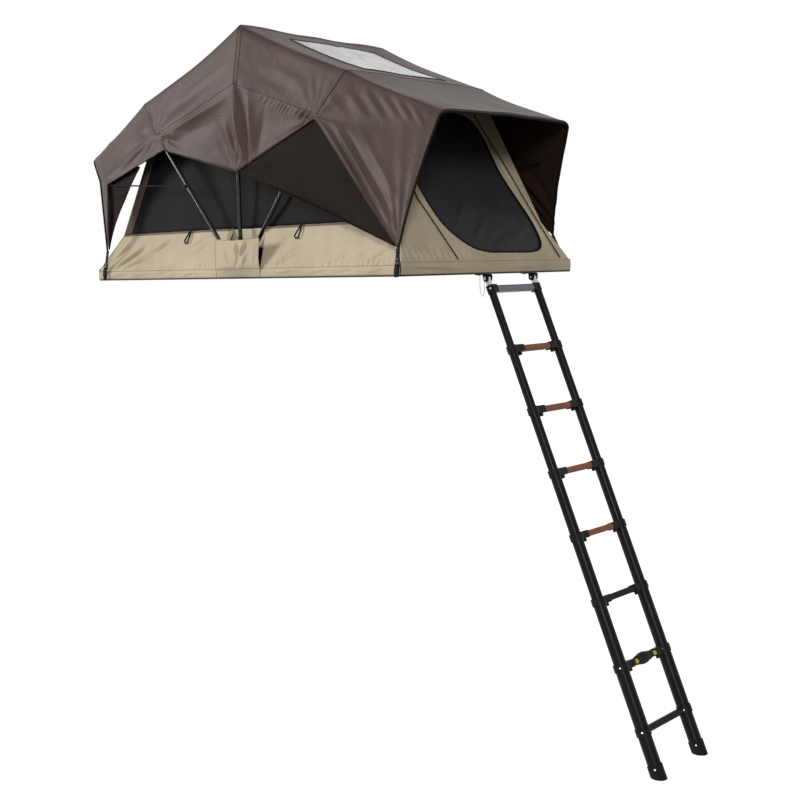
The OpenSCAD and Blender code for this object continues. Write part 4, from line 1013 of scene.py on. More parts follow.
# %% [markdown]
# The flaps of the far side are the same grids, mirrored. Only the tip by the ladder differs, because
# it is tied shorter there.

# %% Side flaps
FLAP_ROWS = 16
FLAP_TRIM = 0.02
FLAP_TAPE_R = 2.5 * MM
flap_pieces = []
for name, place, columns, area, tips in (
    ("ladder_flap", ladder_flap_points, 60, 0.19, (near_tip, far_tip)),
    ("car_flap", car_flap_points, 40, 0.06, (car_flap, car_flap)),
):
    hems = []
    for side, tip in zip(("near", "far"), tips):
        along = FLAP_TRIM + (1 - 2 * FLAP_TRIM) * np.arange(columns + 1) / columns
        up = np.arange(FLAP_ROWS + 1) / FLAP_ROWS
        points = np.array([[place(u, v, tip) for v in up] for u in along])
        if name == "car_flap":
            points = points[::-1]
        sheet = points if side == "near" else far_side(points)
        # Each flap takes the cloth that is painted near black with the shade it hangs in
        piece = add_piece(side + "_" + name, sheet_mesh(sheet), flap_painted_shade_cloth)
        thicken(piece)
        fan_with_bows(piece)
        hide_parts("side_flaps")
        flap_pieces.append(piece)
        hems.append(sheet[:, 0])
    trim = piping(name + "_binding", hems, FLAP_TAPE_R, binding)
    fan_with_bows(trim)
print("flaps", len(flap_pieces))

# %% [markdown]
# ## Inner tent
# The inner tent has a beige skirt and black net above it on the long sides, and a sloping wall with a
# D-shaped door of net at each end.

# %% Inner tent sizes
HALF_L = 1.140
HALF_W = 0.625
SKIRT_LOW = 0.007
SKIRT_FOOT = 0.036
SKIRT_TOP = 0.245
WALL_Y = 0.6283
SKIRT_TOP_Y = 0.512
END_LOW_X = 1.1403
END_TOP_X = 0.7197
END_LOW_Z = 0.060
END_TOP_Z = 0.876
RIDGE_Z = 1.182
ROOF_HALF = 0.451
NET_LEAN = math.atan2(SKIRT_TOP_Y - ROOF_HALF, RIDGE_Z - SKIRT_TOP)


def end_x(z):
    """How far out an end wall stands at a height."""
    return END_LOW_X - (END_LOW_X - END_TOP_X) * (z - END_LOW_Z) / (END_TOP_Z - END_LOW_Z)


def roof_z(x):
    """How high the inner roof is."""
    return RIDGE_Z - (RIDGE_Z - END_TOP_Z) * np.abs(x) / END_TOP_X


def wall_y(z):
    """How far out a side net stands at a height."""
    return SKIRT_TOP_Y - (z - SKIRT_TOP) * math.tan(NET_LEAN)


print("side walls lean in by", round(math.degrees(NET_LEAN), 1), "degrees")

# %% [markdown]
# ### Skirts
# The skirt is pulled down and out to the corners of the floor, so tension wrinkles run up from
# each corner. At the bottom it hangs down over the edge rail.

# %% Skirt shape
SKIRT_FOLDS = [
    ((-1.020, 0.062), (-0.800, 0.195), 0.010, 0.016),
    ((-1.000, 0.055), (-0.770, 0.180), 0.008, -0.014),
    ((-0.950, 0.060), (-0.720, 0.150), 0.010, 0.012),
    ((-0.930, 0.052), (-0.660, 0.125), 0.008, -0.011),
    ((-1.060, 0.100), (-0.920, 0.205), 0.009, -0.012),
    ((-1.040, 0.120), (-0.950, 0.210), 0.008, 0.010),
    ((-0.880, 0.150), (-0.800, 0.225), 0.008, 0.009),
    ((-0.740, 0.140), (-0.600, 0.225), 0.009, 0.011),
    ((-0.700, 0.130), (-0.570, 0.215), 0.007, -0.010),
    ((-0.420, 0.160), (-0.300, 0.215), 0.008, 0.008),
    ((-0.360, 0.120), (-0.220, 0.200), 0.008, -0.008),
    ((-1.050, 0.020), (-0.860, 0.046), 0.006, 0.009),
    ((-0.860, 0.018), (-0.660, 0.046), 0.006, 0.008),
    ((-0.620, 0.018), (-0.460, 0.046), 0.006, -0.008),
    ((-0.400, 0.018), (-0.260, 0.046), 0.006, 0.008),
    ((0.300, 0.060), (0.420, 0.150), 0.010, 0.010),
    ((0.340, 0.055), (0.460, 0.120), 0.008, -0.009),
    ((0.260, 0.150), (0.360, 0.225), 0.010, 0.009),
    ((0.620, 0.056), (0.800, 0.110), 0.009, 0.008),
    ((0.780, 0.056), (0.980, 0.130), 0.009, -0.008),
    ((0.900, 0.060), (1.050, 0.140), 0.009, 0.009),
    ((0.300, 0.018), (0.480, 0.046), 0.006, 0.008),
    ((0.520, 0.018), (0.700, 0.046), 0.006, 0.008),
    ((0.740, 0.018), (0.920, 0.046), 0.006, -0.008),
    ((0.920, 0.018), (1.060, 0.046), 0.006, 0.008),
]
SKIRT_COLUMNS, SKIRT_ROWS = 200, 48
FOOT_CROWDING = 0.9
SKIRT_EASE = 0.002
FOOT_SEAM_Z = 0.050
GATHER_STEP = 0.034
GATHER_DEPTH = 0.0028
GATHER_ABOVE, GATHER_HALF = 0.014, 0.016
SKIRT_RIPPLE = 0.0015
DEEPEST = 0.016
SKIRT_OUT = 0.001
END_FADE = 12


def skirt_points(low_start, high_start):
    """The near skirt from its edge by the fold out to the end of the floor."""
    columns, rows = SKIRT_COLUMNS, SKIRT_ROWS
    z = SKIRT_LOW + (SKIRT_TOP - SKIRT_LOW) * np.linspace(0, 1, rows + 1) ** FOOT_CROWDING
    grid = np.zeros((columns + 1, rows + 1, 3))
    for i in range(columns + 1):
        for j, height in enumerate(z):
            reach = HALF_L if height <= END_LOW_Z else end_x(height) - SKIRT_EASE
            up = (height - SKIRT_LOW) / (SKIRT_TOP - SKIRT_LOW)
            start = low_start + (high_start - low_start) * up
            x = start + (math.copysign(reach, start) - start) * i / columns
            lean = max(0, height - SKIRT_FOOT) / (SKIRT_TOP - SKIRT_FOOT)
            grid[i, j] = (x, -(WALL_Y - (WALL_Y - SKIRT_TOP_Y) * lean), height)
    free = np.sin(np.pi * np.linspace(0, 1, rows + 1))[None, :] ** 0.5
    x, height = grid[..., 0], grid[..., 2]
    ripple = SKIRT_RIPPLE * np.sin(43 * x + 30 * height) * np.sin(17 * x)
    gathers = np.sin(2 * np.pi * x / GATHER_STEP + 2 * np.sin(13 * x)) * (0.6 + 0.4 * np.sin(21 * x))
    by_foot = np.exp(-((height - FOOT_SEAM_Z - GATHER_ABOVE) / GATHER_HALF) ** 2)
    drape = folds(x, height, SKIRT_FOLDS) + ripple + GATHER_DEPTH * gathers * by_foot
    run = np.linspace(0, 1, columns + 1)
    ends = (np.clip(run * END_FADE, 0, 1) * np.clip(run[::-1] * END_FADE, 0, 1))[:, None]
    # Where folds meet they don't pile up: the hyperbolic tangent holds them to a deepest value
    grid[..., 1] -= DEEPEST * np.tanh(1.5 * drape / DEEPEST) * free * ends + SKIRT_OUT
    return grid if low_start > 0 else grid[::-1]


print("folds on a skirt side", len(SKIRT_FOLDS))

# %% [markdown]
# There are two skirts on each side, one per floor half. Each has a thin seam along its foot, where
# the part that goes over the rail is sewn on.

# %% Skirts
WALL_SEAM_R = 1.3 * MM
SEAM_OUT = 0.0005
skirt_tops = []
for name, low_start, high_start in (("car_skirt", -0.098, -0.098), ("ladder_skirt", 0.232, 0.150)):
    points = skirt_points(low_start, high_start)
    for side, sheet in (("near", points), ("far", far_side(points))):
        piece = add_piece(side + "_" + name, sheet_mesh(sheet), wall_canvas)
        thicken(piece)
        fan_with_bows(piece)
        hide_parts("inner_skirt")
        row = np.argmin(np.abs(sheet[0, :, 2] - FOOT_SEAM_Z))
        foot_line = sheet[:, row] + [0, np.sign(sheet[0, 0, 1]) * SEAM_OUT, 0]
        seam = piping(side + "_" + name + "_seam", [foot_line], WALL_SEAM_R, wall_seam)
        fan_with_bows(seam)
        skirt_tops.append(sheet)
print("skirts", len(skirt_tops))

# %% [markdown]
# A taupe band covers the seam between the skirt and the net. It is a narrow grid that stands on the
# last row but one of the skirt and leans in with the net above.

# %% Skirt bands
BAND_H = 0.015
BAND_IN = 0.010
BAND_OUT = 0.0025
TAPE_T = 1.2 * MM


def band(name, line, wide, finish):
    """A flat tape along a line of points, wide above it and a little out from it."""
    side = np.sign(line[:, 1:2])
    low = line + side * [0, BAND_OUT, 0]
    rows = np.stack([low + np.array(wide) * t for t in np.linspace(0, 1, 5)], axis=1)
    if line[0, 1] > 0:
        rows = rows[::-1]
    piece = add_piece(name, sheet_mesh(rows), finish)
    thicken(piece, TAPE_T)
    fan_with_bows(piece)
    return piece


for index, sheet in enumerate(skirt_tops):
    line = sheet[:, -2] if sheet[0, 0, 0] < sheet[-1, 0, 0] else sheet[::-1, -2]
    side = "near" if index % 2 == 0 else "far"
    half = "car" if index < 2 else "ladder"
    lean_in = (0, -math.copysign(BAND_IN, sheet[0, 0, 1]), BAND_H)
    piece = band(side + "_" + half + "_skirt_band", line, lean_in, band_cloth)
print("bands", len(skirt_tops))

# %% [markdown]
# Two loops of black cord hang from the band on each side. They hold the net's cover when it is
# rolled down.

# %% Toggle loops
TOGGLE_LOOP = [
    (0, 0.520, 0.254), (-0.015, 0.541, 0.214), (-0.019, 0.550, 0.197), (-0.004, 0.556, 0.186),
    (0.012, 0.553, 0.191), (0.010, 0.542, 0.213), (0.003, 0.521, 0.253),
]
TOGGLE_AT = (-0.440, 0.410)
TOGGLE_R = 3.6 * MM
for side, sign in (("near", -1), ("far", 1)):
    loops = [[(at + x, sign * y, z) for x, y, z in TOGGLE_LOOP] for at in TOGGLE_AT]
    toggles = piping(side + "_toggles", loops, TOGGLE_R, webbing)
    fan_with_bows(toggles)
print("toggle loops on each side", len(TOGGLE_AT))

# %% [markdown]
# The net fills the wall up to the roof. It hangs a little slack, so it has soft upright folds.
# They go inwards only, because the legs of the bows stand close outside it. Bands of the taupe
# cloth, painted dark brown with the shade under the fly, close the net along its sloping ends.

# %% Side nets
NET_COLUMNS, NET_ROWS = 90, 40
NET_T = 1.0 * MM
NET_INSET = 0.024
NET_BELOW_ROOF = 0.006
NET_ABOVE_SKIRT = 0.0006
NET_SLACK = 0.014
NET_BAND_W = 0.065
NET_BAND_OVER = 0.35
NET_BAND_OUT = 0.0015
net = np.zeros((NET_COLUMNS + 1, NET_ROWS + 1, 3))
for i in range(NET_COLUMNS + 1):
    u = 2 * i / NET_COLUMNS - 1
    low = np.array([u * (end_x(SKIRT_TOP) - NET_INSET), SKIRT_TOP + NET_ABOVE_SKIRT])
    high = np.array([u * (END_TOP_X - NET_INSET), 0])
    high[1] = roof_z(high[0]) - NET_BELOW_ROOF
    for j in range(NET_ROWS + 1):
        t = j / NET_ROWS
        x, z = low + (high - low) * t
        slack = math.sin(math.pi * t) ** 0.7 * math.sin(math.pi * i / NET_COLUMNS) ** 0.5
        wave = 0.5 + 0.5 * math.sin(19 * x + 4 * z + 1.5 * math.sin(5 * x))
        net[i, j] = (x, -wall_y(z) + NET_SLACK * slack * wave, z)
for side, sheet in (("near", net), ("far", far_side(net))):
    # The side nets are near black, partly with the shade under the fly painted in
    piece = add_piece(side + "_net", sheet_mesh(sheet), net_cloth_painted_shade)
    thicken(piece, NET_T)
    fan_with_bows(piece)
    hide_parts("inner_mesh")
    for k, line in enumerate((sheet[0], sheet[-1])):
        inward = np.array([-math.copysign(NET_BAND_W, line[0, 0]), 0, 0])
        out = np.array([-NET_BAND_OVER * inward[0], math.copysign(NET_BAND_OUT, line[0, 1]), 0])
        tape = np.stack([line + out + inward * t for t in np.linspace(0, 1, 6)], axis=1)
        if (line[0, 0] > 0) != (line[0, 1] > 0):
            tape = tape[::-1]
        trim = add_piece(f"{side}_net_band_{k}", sheet_mesh(tape), net_band_painted_shade)
        thicken(trim, NET_T)
        fan_with_bows(trim)
print("nets", net.shape)

# %% [markdown]
# ### Hinge pocket
# A pocket of canvas covers the hinge and the feet of the bows on each side. It bulges out over
# them, is sewn down at the car side and open at the other, where it stands off the skirt.

# %% Pocket shape
POCKET_NEAR = -0.108
POCKET_FAR = 0.226
POCKET_TOP = 0.194
POCKET_BULGE = 0.030
POCKET_OUT = 0.0045
POCKET_DROOP = 0.007
POCKET_COLUMNS, POCKET_ROWS = 72, 40
POCKET_FOLDS = [
    ((0.052, 0.190), (0.082, 0.112), 0.009, 0.016),
    ((0.078, 0.190), (0.092, 0.104), 0.008, -0.016),
    ((0.130, 0.188), (0.104, 0.108), 0.010, 0.017),
    ((0.156, 0.186), (0.122, 0.100), 0.008, -0.013),
    ((0.092, 0.112), (0.076, 0.048), 0.010, -0.012),
    ((0.150, 0.140), (0.116, 0.056), 0.010, 0.012),
    ((-0.060, 0.180), (0.020, 0.070), 0.016, 0.009),
    ((-0.030, 0.180), (0.045, 0.060), 0.010, -0.007),
    ((-0.086, 0.160), (-0.040, 0.050), 0.010, -0.006),
    ((0.196, 0.175), (0.182, 0.060), 0.009, 0.009),
]
pocket = np.zeros((POCKET_COLUMNS + 1, POCKET_ROWS + 1, 3))
for i in range(POCKET_COLUMNS + 1):
    u = i / POCKET_COLUMNS
    for j in range(POCKET_ROWS + 1):
        v = j / POCKET_ROWS
        rise = min(1, v * 3.5)
        swell = rise * math.sin(math.pi / 2 * min(1, u * 2.2)) ** 0.6 * (1 - 2.0 * max(0, u - 0.6))
        pleat = 0.0006 * math.sin(2 * math.pi * 9 * u) * (v ** 3 + 0.6 * (1 - v) ** 4)
        x = POCKET_NEAR + (POCKET_FAR - POCKET_NEAR) * u + 0.003 * math.sin(9 * v) * u
        droop = POCKET_DROOP * math.sin(math.pi * u) ** 2 * v ** 3
        droop = droop + 0.0012 * math.sin(31 * u) * v ** 4
        z = SKIRT_LOW + (POCKET_TOP - SKIRT_LOW) * v - droop
        out = POCKET_OUT + POCKET_BULGE * swell * (1 - 0.6 * v ** 2) + pleat
        pocket[i, j] = (x, -(HALF_W + out), z)
free = np.sin(np.pi * np.linspace(0, 1, POCKET_ROWS + 1))[None, :] ** 0.6
edges = np.sin(np.pi * np.linspace(0, 1, POCKET_COLUMNS + 1))[:, None] ** 0.5
creased = folds(pocket[..., 0], pocket[..., 2], POCKET_FOLDS)
pocket[..., 1] -= creased * np.maximum(free, 0.3) * edges
print("pocket", pocket.shape, "stands out to", round(-pocket[..., 1].min(), 3))

# %% [markdown]
# The pocket spans the hinge, so it bends from one floor half to the other when the tent folds.

# %% Hinge pockets
BEND_FROM = (FOLD_X + POCKET_NEAR, 0, AXIS_Z)
BEND_TO = (FOLD_X - POCKET_NEAR, 0, AXIS_Z)
for side, sheet in (("near", pocket), ("far", far_side(pocket))):
    piece = add_piece(side + "_hinge_pocket", sheet_mesh(sheet), wall_canvas)
    thicken(piece)
    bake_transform(piece, "car_base", "ladder_base", BEND_FROM, BEND_TO)
    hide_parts("hinge_covers")
    row = np.argmin(np.abs(sheet[0, :, 2] - FOOT_SEAM_Z))
    sewn_edge = 1 if side == "near" else -2
    lines = [sheet[sewn_edge], sheet[:, row], sheet[:, -1]]
    lines = [line + [0, np.sign(line[0, 1]) * SEAM_OUT, 0] for line in lines]
    seams = piping(side + "_pocket_seams", lines, WALL_SEAM_R, wall_seam)
    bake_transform(seams, "car_base", "ladder_base", BEND_FROM, BEND_TO)
    print(side, "pocket seams", len(lines))

# %% [markdown]
# Behind the legs of the bows a small gusset carries the skirt on under the net, so that no gap
# shows above the pocket.

# %% Hinge gussets
GUSSET_X = np.linspace(-0.150, 0.190, 25)
GUSSET_Z = np.linspace(0.150, SKIRT_TOP + 0.004, 9)
GUSSET_IN = 0.0015
GUSSET_WAVE = 0.001
gusset = np.zeros((len(GUSSET_X), len(GUSSET_Z), 3))
for i, x in enumerate(GUSSET_X):
    for j, z in enumerate(GUSSET_Z):
        gusset[i, j] = (x, -SKIRT_TOP_Y + GUSSET_IN + GUSSET_WAVE * math.sin(60 * x), z)
for side, sheet in (("near", gusset), ("far", far_side(gusset))):
    piece = add_piece(side + "_hinge_gusset", sheet_mesh(sheet), wall_canvas)
    thicken(piece, NET_T)
    fan_with_bows(piece)
    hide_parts("inner_skirt")
print("gusset", gusset.shape)

# %% [markdown]
# ### End walls
# Each end is a sloping canvas wall with a large D-shaped opening of net, dark piping round it and
# two zips. The wall is drawn in its own plane, across and up the slope. The opening's outline is a
# smooth curve through a few points, and the wall's own outline has straight edges.

# %% End wall outlines
DOOR_SHAPE = [
    (-0.306, 0.500), (-0.301, 0.356), (-0.242, 0.189), (-0.126, 0.084), (-0.012, 0.049),
    (0.110, 0.045), (0.236, 0.044), (0.350, 0.047), (0.415, 0.066), (0.442, 0.115),
    (0.432, 0.220), (0.383, 0.360), (0.345, 0.480), (0.335, 0.590), (0.325, 0.700),
    (0.280, 0.780), (0.180, 0.810), (0.000, 0.812), (-0.160, 0.800), (-0.260, 0.740),
    (-0.298, 0.640),
]
DOOR_MIDDLE = np.array([0.060, 0.430])
SLOPE_L = math.hypot(END_LOW_X - END_TOP_X, END_TOP_Z - END_LOW_Z)
SKIRT_UP = SLOPE_L * (SKIRT_TOP - END_LOW_Z) / (END_TOP_Z - END_LOW_Z)
WALL_SHAPE = [
    (-0.618, 0), (-0.516, SKIRT_UP), (-0.474, SLOPE_L),
    (0.474, SLOPE_L), (0.516, SKIRT_UP), (0.618, 0),
]


def smooth_loop(corners, count):
    """Points of a closed curve that passes through its corners."""
    corners = np.array(corners)
    n = len(corners)
    loop = []
    for k in range(count):
        i, t = divmod(k * n / count, 1)
        a, b, c, d = (corners[(int(i) + m) % n] for m in (-1, 0, 1, 2))
        bend = (2 * a - 5 * b + 4 * c - d) * t ** 2
        twist = (3 * b - a - 3 * c + d) * t ** 3
        loop.append(0.5 * (2 * b + (c - a) * t + bend + twist))
    return np.array(loop)


PARALLEL = 1e-12
TOUCH = 1e-9


def reach_of(outline, angles):
    """Distance from the door's middle to an outline, along each angle."""
    far = np.zeros(len(angles))
    for a, b in zip(outline, np.roll(outline, -1, axis=0)):
        a, b = np.array(a) - DOOR_MIDDLE, np.array(b) - DOOR_MIDDLE
        edge = b - a
        for k, angle in enumerate(angles):
            ray = np.array([math.cos(angle), math.sin(angle)])
            cross = ray[0] * edge[1] - ray[1] * edge[0]
            if abs(cross) < PARALLEL:
                continue
            t = (a[0] * edge[1] - a[1] * edge[0]) / cross
            s = (a[0] * ray[1] - a[1] * ray[0]) / cross
            if t > 0 and -TOUCH <= s <= 1 + TOUCH:
                far[k] = max(far[k], t)
    return far


def end_place(flat, out, end):
    """From the plane of an end wall to the tent. end is 1 at the ladder, -1 at the car."""
    y, up = flat[..., 0], flat[..., 1] / SLOPE_L
    slope = np.array([(END_TOP_Z - END_LOW_Z) / SLOPE_L, 0, (END_LOW_X - END_TOP_X) / SLOPE_L])
    x = END_LOW_X - (END_LOW_X - END_TOP_X) * up
    z = END_LOW_Z + (END_TOP_Z - END_LOW_Z) * up
    place = np.stack([x, y, z], axis=-1) + slope * np.asarray(out)[..., None]
    return place * [end, 1, 1]


print("end wall", round(SLOPE_L, 3), "up its slope")

# %% [markdown]
# Rings of points run from the opening out to the wall's edge, so the cloth closes round the opening
# without a seam. The rays from the door's middle meet the edge at even steps, so that small folds
# by its corners have points enough, and a ray goes to each corner.

# %% End wall rays
RING = 640
DOOR_POINTS = 400
edge = np.array([*WALL_SHAPE, WALL_SHAPE[0]])
along_edge = np.concatenate([[0], np.cumsum(np.linalg.norm(np.diff(edge, axis=0), axis=1))])
steps = np.linspace(0, along_edge[-1], RING, endpoint=False)
edge_places = np.stack([np.interp(steps, along_edge, edge[:, c]) for c in (0, 1)], axis=1)
to_edge = edge_places - DOOR_MIDDLE
ring_angles = np.sort(np.arctan2(to_edge[:, 1], to_edge[:, 0]) % (2 * math.pi))
ring_angles[0] = 0
ring_angles = np.append(ring_angles, 2 * math.pi)
for corner in WALL_SHAPE:
    turn = math.atan2(corner[1] - DOOR_MIDDLE[1], corner[0] - DOOR_MIDDLE[0]) % (2 * math.pi)
    ring_angles[1 + np.argmin(np.abs(ring_angles[1:-1] - turn))] = turn
door_reach = reach_of(smooth_loop(DOOR_SHAPE, DOOR_POINTS), ring_angles)
wall_reach = reach_of(WALL_SHAPE, ring_angles)
ring_rays = np.stack([np.cos(ring_angles), np.sin(ring_angles)], axis=1)
print("rays", len(ring_angles), "widest reach of the door", round(door_reach.max(), 3))

# %% [markdown]
# Folds of the wall are listed across and up its slope, as on the fly. Small gathers stand on the
# foot seam, deepest by the tie and shallow under the door, and a loop writes those.

# %% End wall folds
END_FOLDS = [
    ((-0.590, 0.060), (-0.490, 0.230), 0.024, -0.012),
    ((-0.575, 0.040), (-0.400, 0.140), 0.014, 0.008),
    ((-0.540, 0.030), (-0.350, 0.100), 0.012, -0.007),
    ((0.490, 0.080), (0.430, 0.330), 0.011, 0.008),
    ((0.540, 0.060), (0.420, 0.500), 0.011, -0.007),
    ((0.470, 0.300), (0.380, 0.620), 0.012, 0.008),
    ((0.400, 0.420), (0.360, 0.760), 0.011, -0.007),
    ((0.415, 0.560), (0.350, 0.600), 0.008, 0.006),
    ((0.400, 0.620), (0.345, 0.650), 0.008, -0.006),
    ((0.390, 0.680), (0.340, 0.700), 0.008, 0.006),
    ((0.000, 0.012), (0.350, 0.026), 0.010, 0.006),
    ((-0.160, 0.010), (-0.060, 0.050), 0.009, 0.006),
    ((0.380, 0.010), (0.520, 0.050), 0.009, -0.006),
]
FOOT_GATHERS = np.arange(-0.590, 0.56, 0.021)
GATHER_FOOT, GATHER_W = 0.012, 0.008
DEEP_BY_TIE, DEEP_BY_DOOR = 0.0110, 0.0015
DEEP_UNTIL, DEEP_FADE = -0.42, 0.15
for k, y in enumerate(FOOT_GATHERS):
    fade = math.exp(-max(0, y - DEEP_UNTIL) / DEEP_FADE)
    deep = (DEEP_BY_TIE * fade + DEEP_BY_DOOR) * (0.75 + 0.25 * math.sin(3.1 * k))
    top = (y + 0.010 * math.sin(1.7 * k) - 0.012, 0.062 + 0.022 * math.sin(2.3 * k))
    END_FOLDS.append(((y, GATHER_FOOT), top, GATHER_W, deep * (-1) ** k))

DOOR_FOLDS = [
    ((-0.060, 0.110), (0.090, 0.230), 0.014, 0.010),
    ((0.040, 0.080), (0.240, 0.185), 0.012, -0.009),
    ((0.150, 0.070), (0.350, 0.170), 0.014, 0.011),
    ((0.260, 0.080), (0.400, 0.150), 0.012, -0.008),
    ((-0.160, 0.170), (0.010, 0.350), 0.016, 0.009),
    ((0.300, 0.250), (0.390, 0.120), 0.012, 0.007),
    ((-0.210, 0.300), (-0.100, 0.520), 0.020, 0.007),
    ((0.200, 0.300), (0.330, 0.480), 0.020, -0.006),
]
print("folds of an end wall", len(END_FOLDS), "and of its door", len(DOOR_FOLDS))

# %% [markdown]
# The first and last columns of a ring lie on each other, so they are merged. The folds fade out at
# the wall's edge and beside the opening. The door's net sags in towards its middle.

# %% End walls
WALL_RINGS, DOOR_RINGS = 41, 33
WALL_OUT = 0.003
END_DRAPE = 0.8
EDGE_FADE, OPENING_FADE, OPENING_LEAST = 0.05, 0.08, 0.2
DOOR_SAG, DOOR_RIPPLE = 0.012, 0.003
DOOR_PIPING_R = 4.5 * MM
PIPING_OUT = 0.004
MERGE = 1e-5


def ringed(name, rings, turn_round, finish):
    """A closed sheet from rings of points, turned round where its face would look inwards."""
    points = np.stack(rings, axis=1)
    bm = sheet_mesh(points[::-1] if turn_round else points)
    bmesh.ops.remove_doubles(bm, verts=bm.verts, dist=MERGE)
    return add_piece(name, bm, finish)


def end_wall(name, end):
    """One end wall with its door. end is 1 at the ladder, -1 at the car."""
    rings = []
    for t in np.linspace(0, 1, WALL_RINGS):
        reach = door_reach + (wall_reach - door_reach) * t
        flat = DOOR_MIDDLE + ring_rays * reach[:, None]
        fade = min(1, (1 - t) / EDGE_FADE, t / OPENING_FADE + OPENING_LEAST)
        drape = END_DRAPE * folds(flat[:, 0], flat[:, 1], END_FOLDS) * fade
        rings.append(end_place(flat, drape + WALL_OUT, end))
    wall = ringed(name + "_wall", rings, end > 0, wall_canvas)
    rings = []
    for t in np.linspace(0, 1, DOOR_RINGS):
        flat = DOOR_MIDDLE + ring_rays * (door_reach * (1 - t))[:, None]
        ripple = DOOR_RIPPLE * np.sin(14 * flat[:, 0] + 4)
        creases = folds(flat[:, 0], flat[:, 1], DOOR_FOLDS)
        slack = (ripple + creases) * math.sin(math.pi * t) - DOOR_SAG * math.sin(math.pi * t / 2)
        rings.append(end_place(flat, slack, end))
    door = ringed(name + "_door_net", rings, end < 0, door_net)
    loop = end_place(DOOR_MIDDLE + ring_rays[:-1] * door_reach[:-1, None], PIPING_OUT, end)
    trim = piping(name + "_door_piping", [loop], DOOR_PIPING_R, binding, closed=True)
    for piece, slot in ((wall, "wall_canvas"), (door, "insect_mesh"), (trim, "wall_canvas")):
        if piece is not trim:
            thicken(piece, TAPE_T)
        fan_with_bows(piece)
    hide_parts("inner_ends")
    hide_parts("inner_mesh")
    print(name, "wall", len(wall.data.vertices), "points")


end_wall("ladder_end", 1)
end_wall("car_end", -1)

# %% [markdown]
# A strip closes each end wall down to the edge rail, with a piped seam where they meet. It bulges
# a little and is creased along its length, because it is pulled round the rail.

# %% End strips
STRIP_FOLDS = [
    ((-0.60, 0.040), (-0.36, 0.026), 0.007, 0.005),
    ((-0.58, 0.026), (-0.30, 0.014), 0.006, -0.004),
    ((-0.42, 0.034), (-0.20, 0.020), 0.007, 0.004),
    ((0.10, 0.030), (0.40, 0.022), 0.008, 0.003),
]
STRIP_COLUMNS, STRIP_ROWS = 160, 14
STRIP_OUT, STRIP_BULGE, STRIP_WAVE = 0.003, 0.003, 0.001
STRIP_TOP = END_LOW_Z + 0.002
STRIP_SEAM_R = 1.6 * MM
STRIP_SEAM_OUT = 0.001
across_y = np.linspace(-HALF_W, HALF_W, STRIP_COLUMNS + 1)
for name, end in (("ladder_end", 1), ("car_end", -1)):
    strip = np.zeros((STRIP_COLUMNS + 1, STRIP_ROWS + 1, 3))
    for j, z in enumerate(np.linspace(SKIRT_LOW, STRIP_TOP, STRIP_ROWS + 1)):
        free = math.sin(math.pi * j / STRIP_ROWS)
        ripple = folds(across_y, np.full(len(across_y), z - SKIRT_LOW), STRIP_FOLDS) * free
        bulge = STRIP_OUT + STRIP_BULGE * free + STRIP_WAVE * np.sin(24 * across_y)
        strip[:, j, 0] = end * (END_LOW_X + bulge + ripple)
        strip[:, j, 1] = across_y
        strip[:, j, 2] = z
    outward = strip if end > 0 else strip[::-1]
    piece = add_piece(name + "_strip", sheet_mesh(outward), wall_canvas)
    thicken(piece, TAPE_T)
    fan_with_bows(piece)
    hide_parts("inner_ends")
    seam_line = strip[:, -1] + [end * STRIP_SEAM_OUT, 0, 0]
    seam = piping(name + "_strip_seam", [seam_line], STRIP_SEAM_R, wall_canvas)
    fan_with_bows(seam)
    print(name, "strip", strip.shape)

# %% [markdown]
# ### Zips
# A zip runs down each side of the door: a cloth tape with a nylon coil on it. The tape is a narrow
# grid on the wall's plane and the coil is a thin piped line. A zip is stiffer than the wall, so it
# lies on the wall's ridges and its height is averaged along it.

# %% Zips
ZIP_LINES = [
    [(-0.355, 0.480), (-0.355, 0.319), (-0.316, 0.216), (-0.279, 0.109), (-0.246, 0.008)],
    [(0.329, 0.813), (0.385, 0.603), (0.442, 0.365), (0.504, 0.133), (0.539, 0.010)],
]
ZIP_W = 0.014
ZIP_T = 0.8 * MM
ZIP_POINTS = 41
ZIP_OUT = 0.006
ZIP_STIFF = 13
COIL_R = 3.8 * MM
COIL_OUT = 0.001
for name, end in (("ladder_end", 1), ("car_end", -1)):
    coils = []
    for k, corners in enumerate(ZIP_LINES):
        corners = np.array(corners)
        at = np.linspace(0, len(corners) - 1, ZIP_POINTS)
        line = np.stack([np.interp(at, range(len(corners)), corners[:, c]) for c in (0, 1)], axis=1)
        ridges = np.maximum(END_DRAPE * folds(line[:, 0], line[:, 1], END_FOLDS), 0)
        padded = np.pad(ridges, ZIP_STIFF // 2, mode="edge")
        lift = np.convolve(padded, np.ones(ZIP_STIFF) / ZIP_STIFF, mode="valid") + ZIP_OUT
        across_it = np.linspace(-0.5, 0.5, 5) * ZIP_W
        tape = np.stack([end_place(line + [w, 0], lift, end) for w in across_it], axis=1)
        outward = tape if end < 0 else tape[::-1]
        piece = add_piece(f"{name}_zip_tape_{k}", sheet_mesh(outward), wall_canvas)
        thicken(piece, ZIP_T)
        fan_with_bows(piece)
        coils.append(end_place(line, lift + COIL_OUT, end))
    coil = piping(name + "_zip_coils", coils, COIL_R, zip_nylon)
    fan_with_bows(coil)
print("zips", 2 * len(ZIP_LINES))

# %% [markdown]
# ### Inner roof
# A beige roof closes the inner tent under the fly. It hangs slack between its seams.

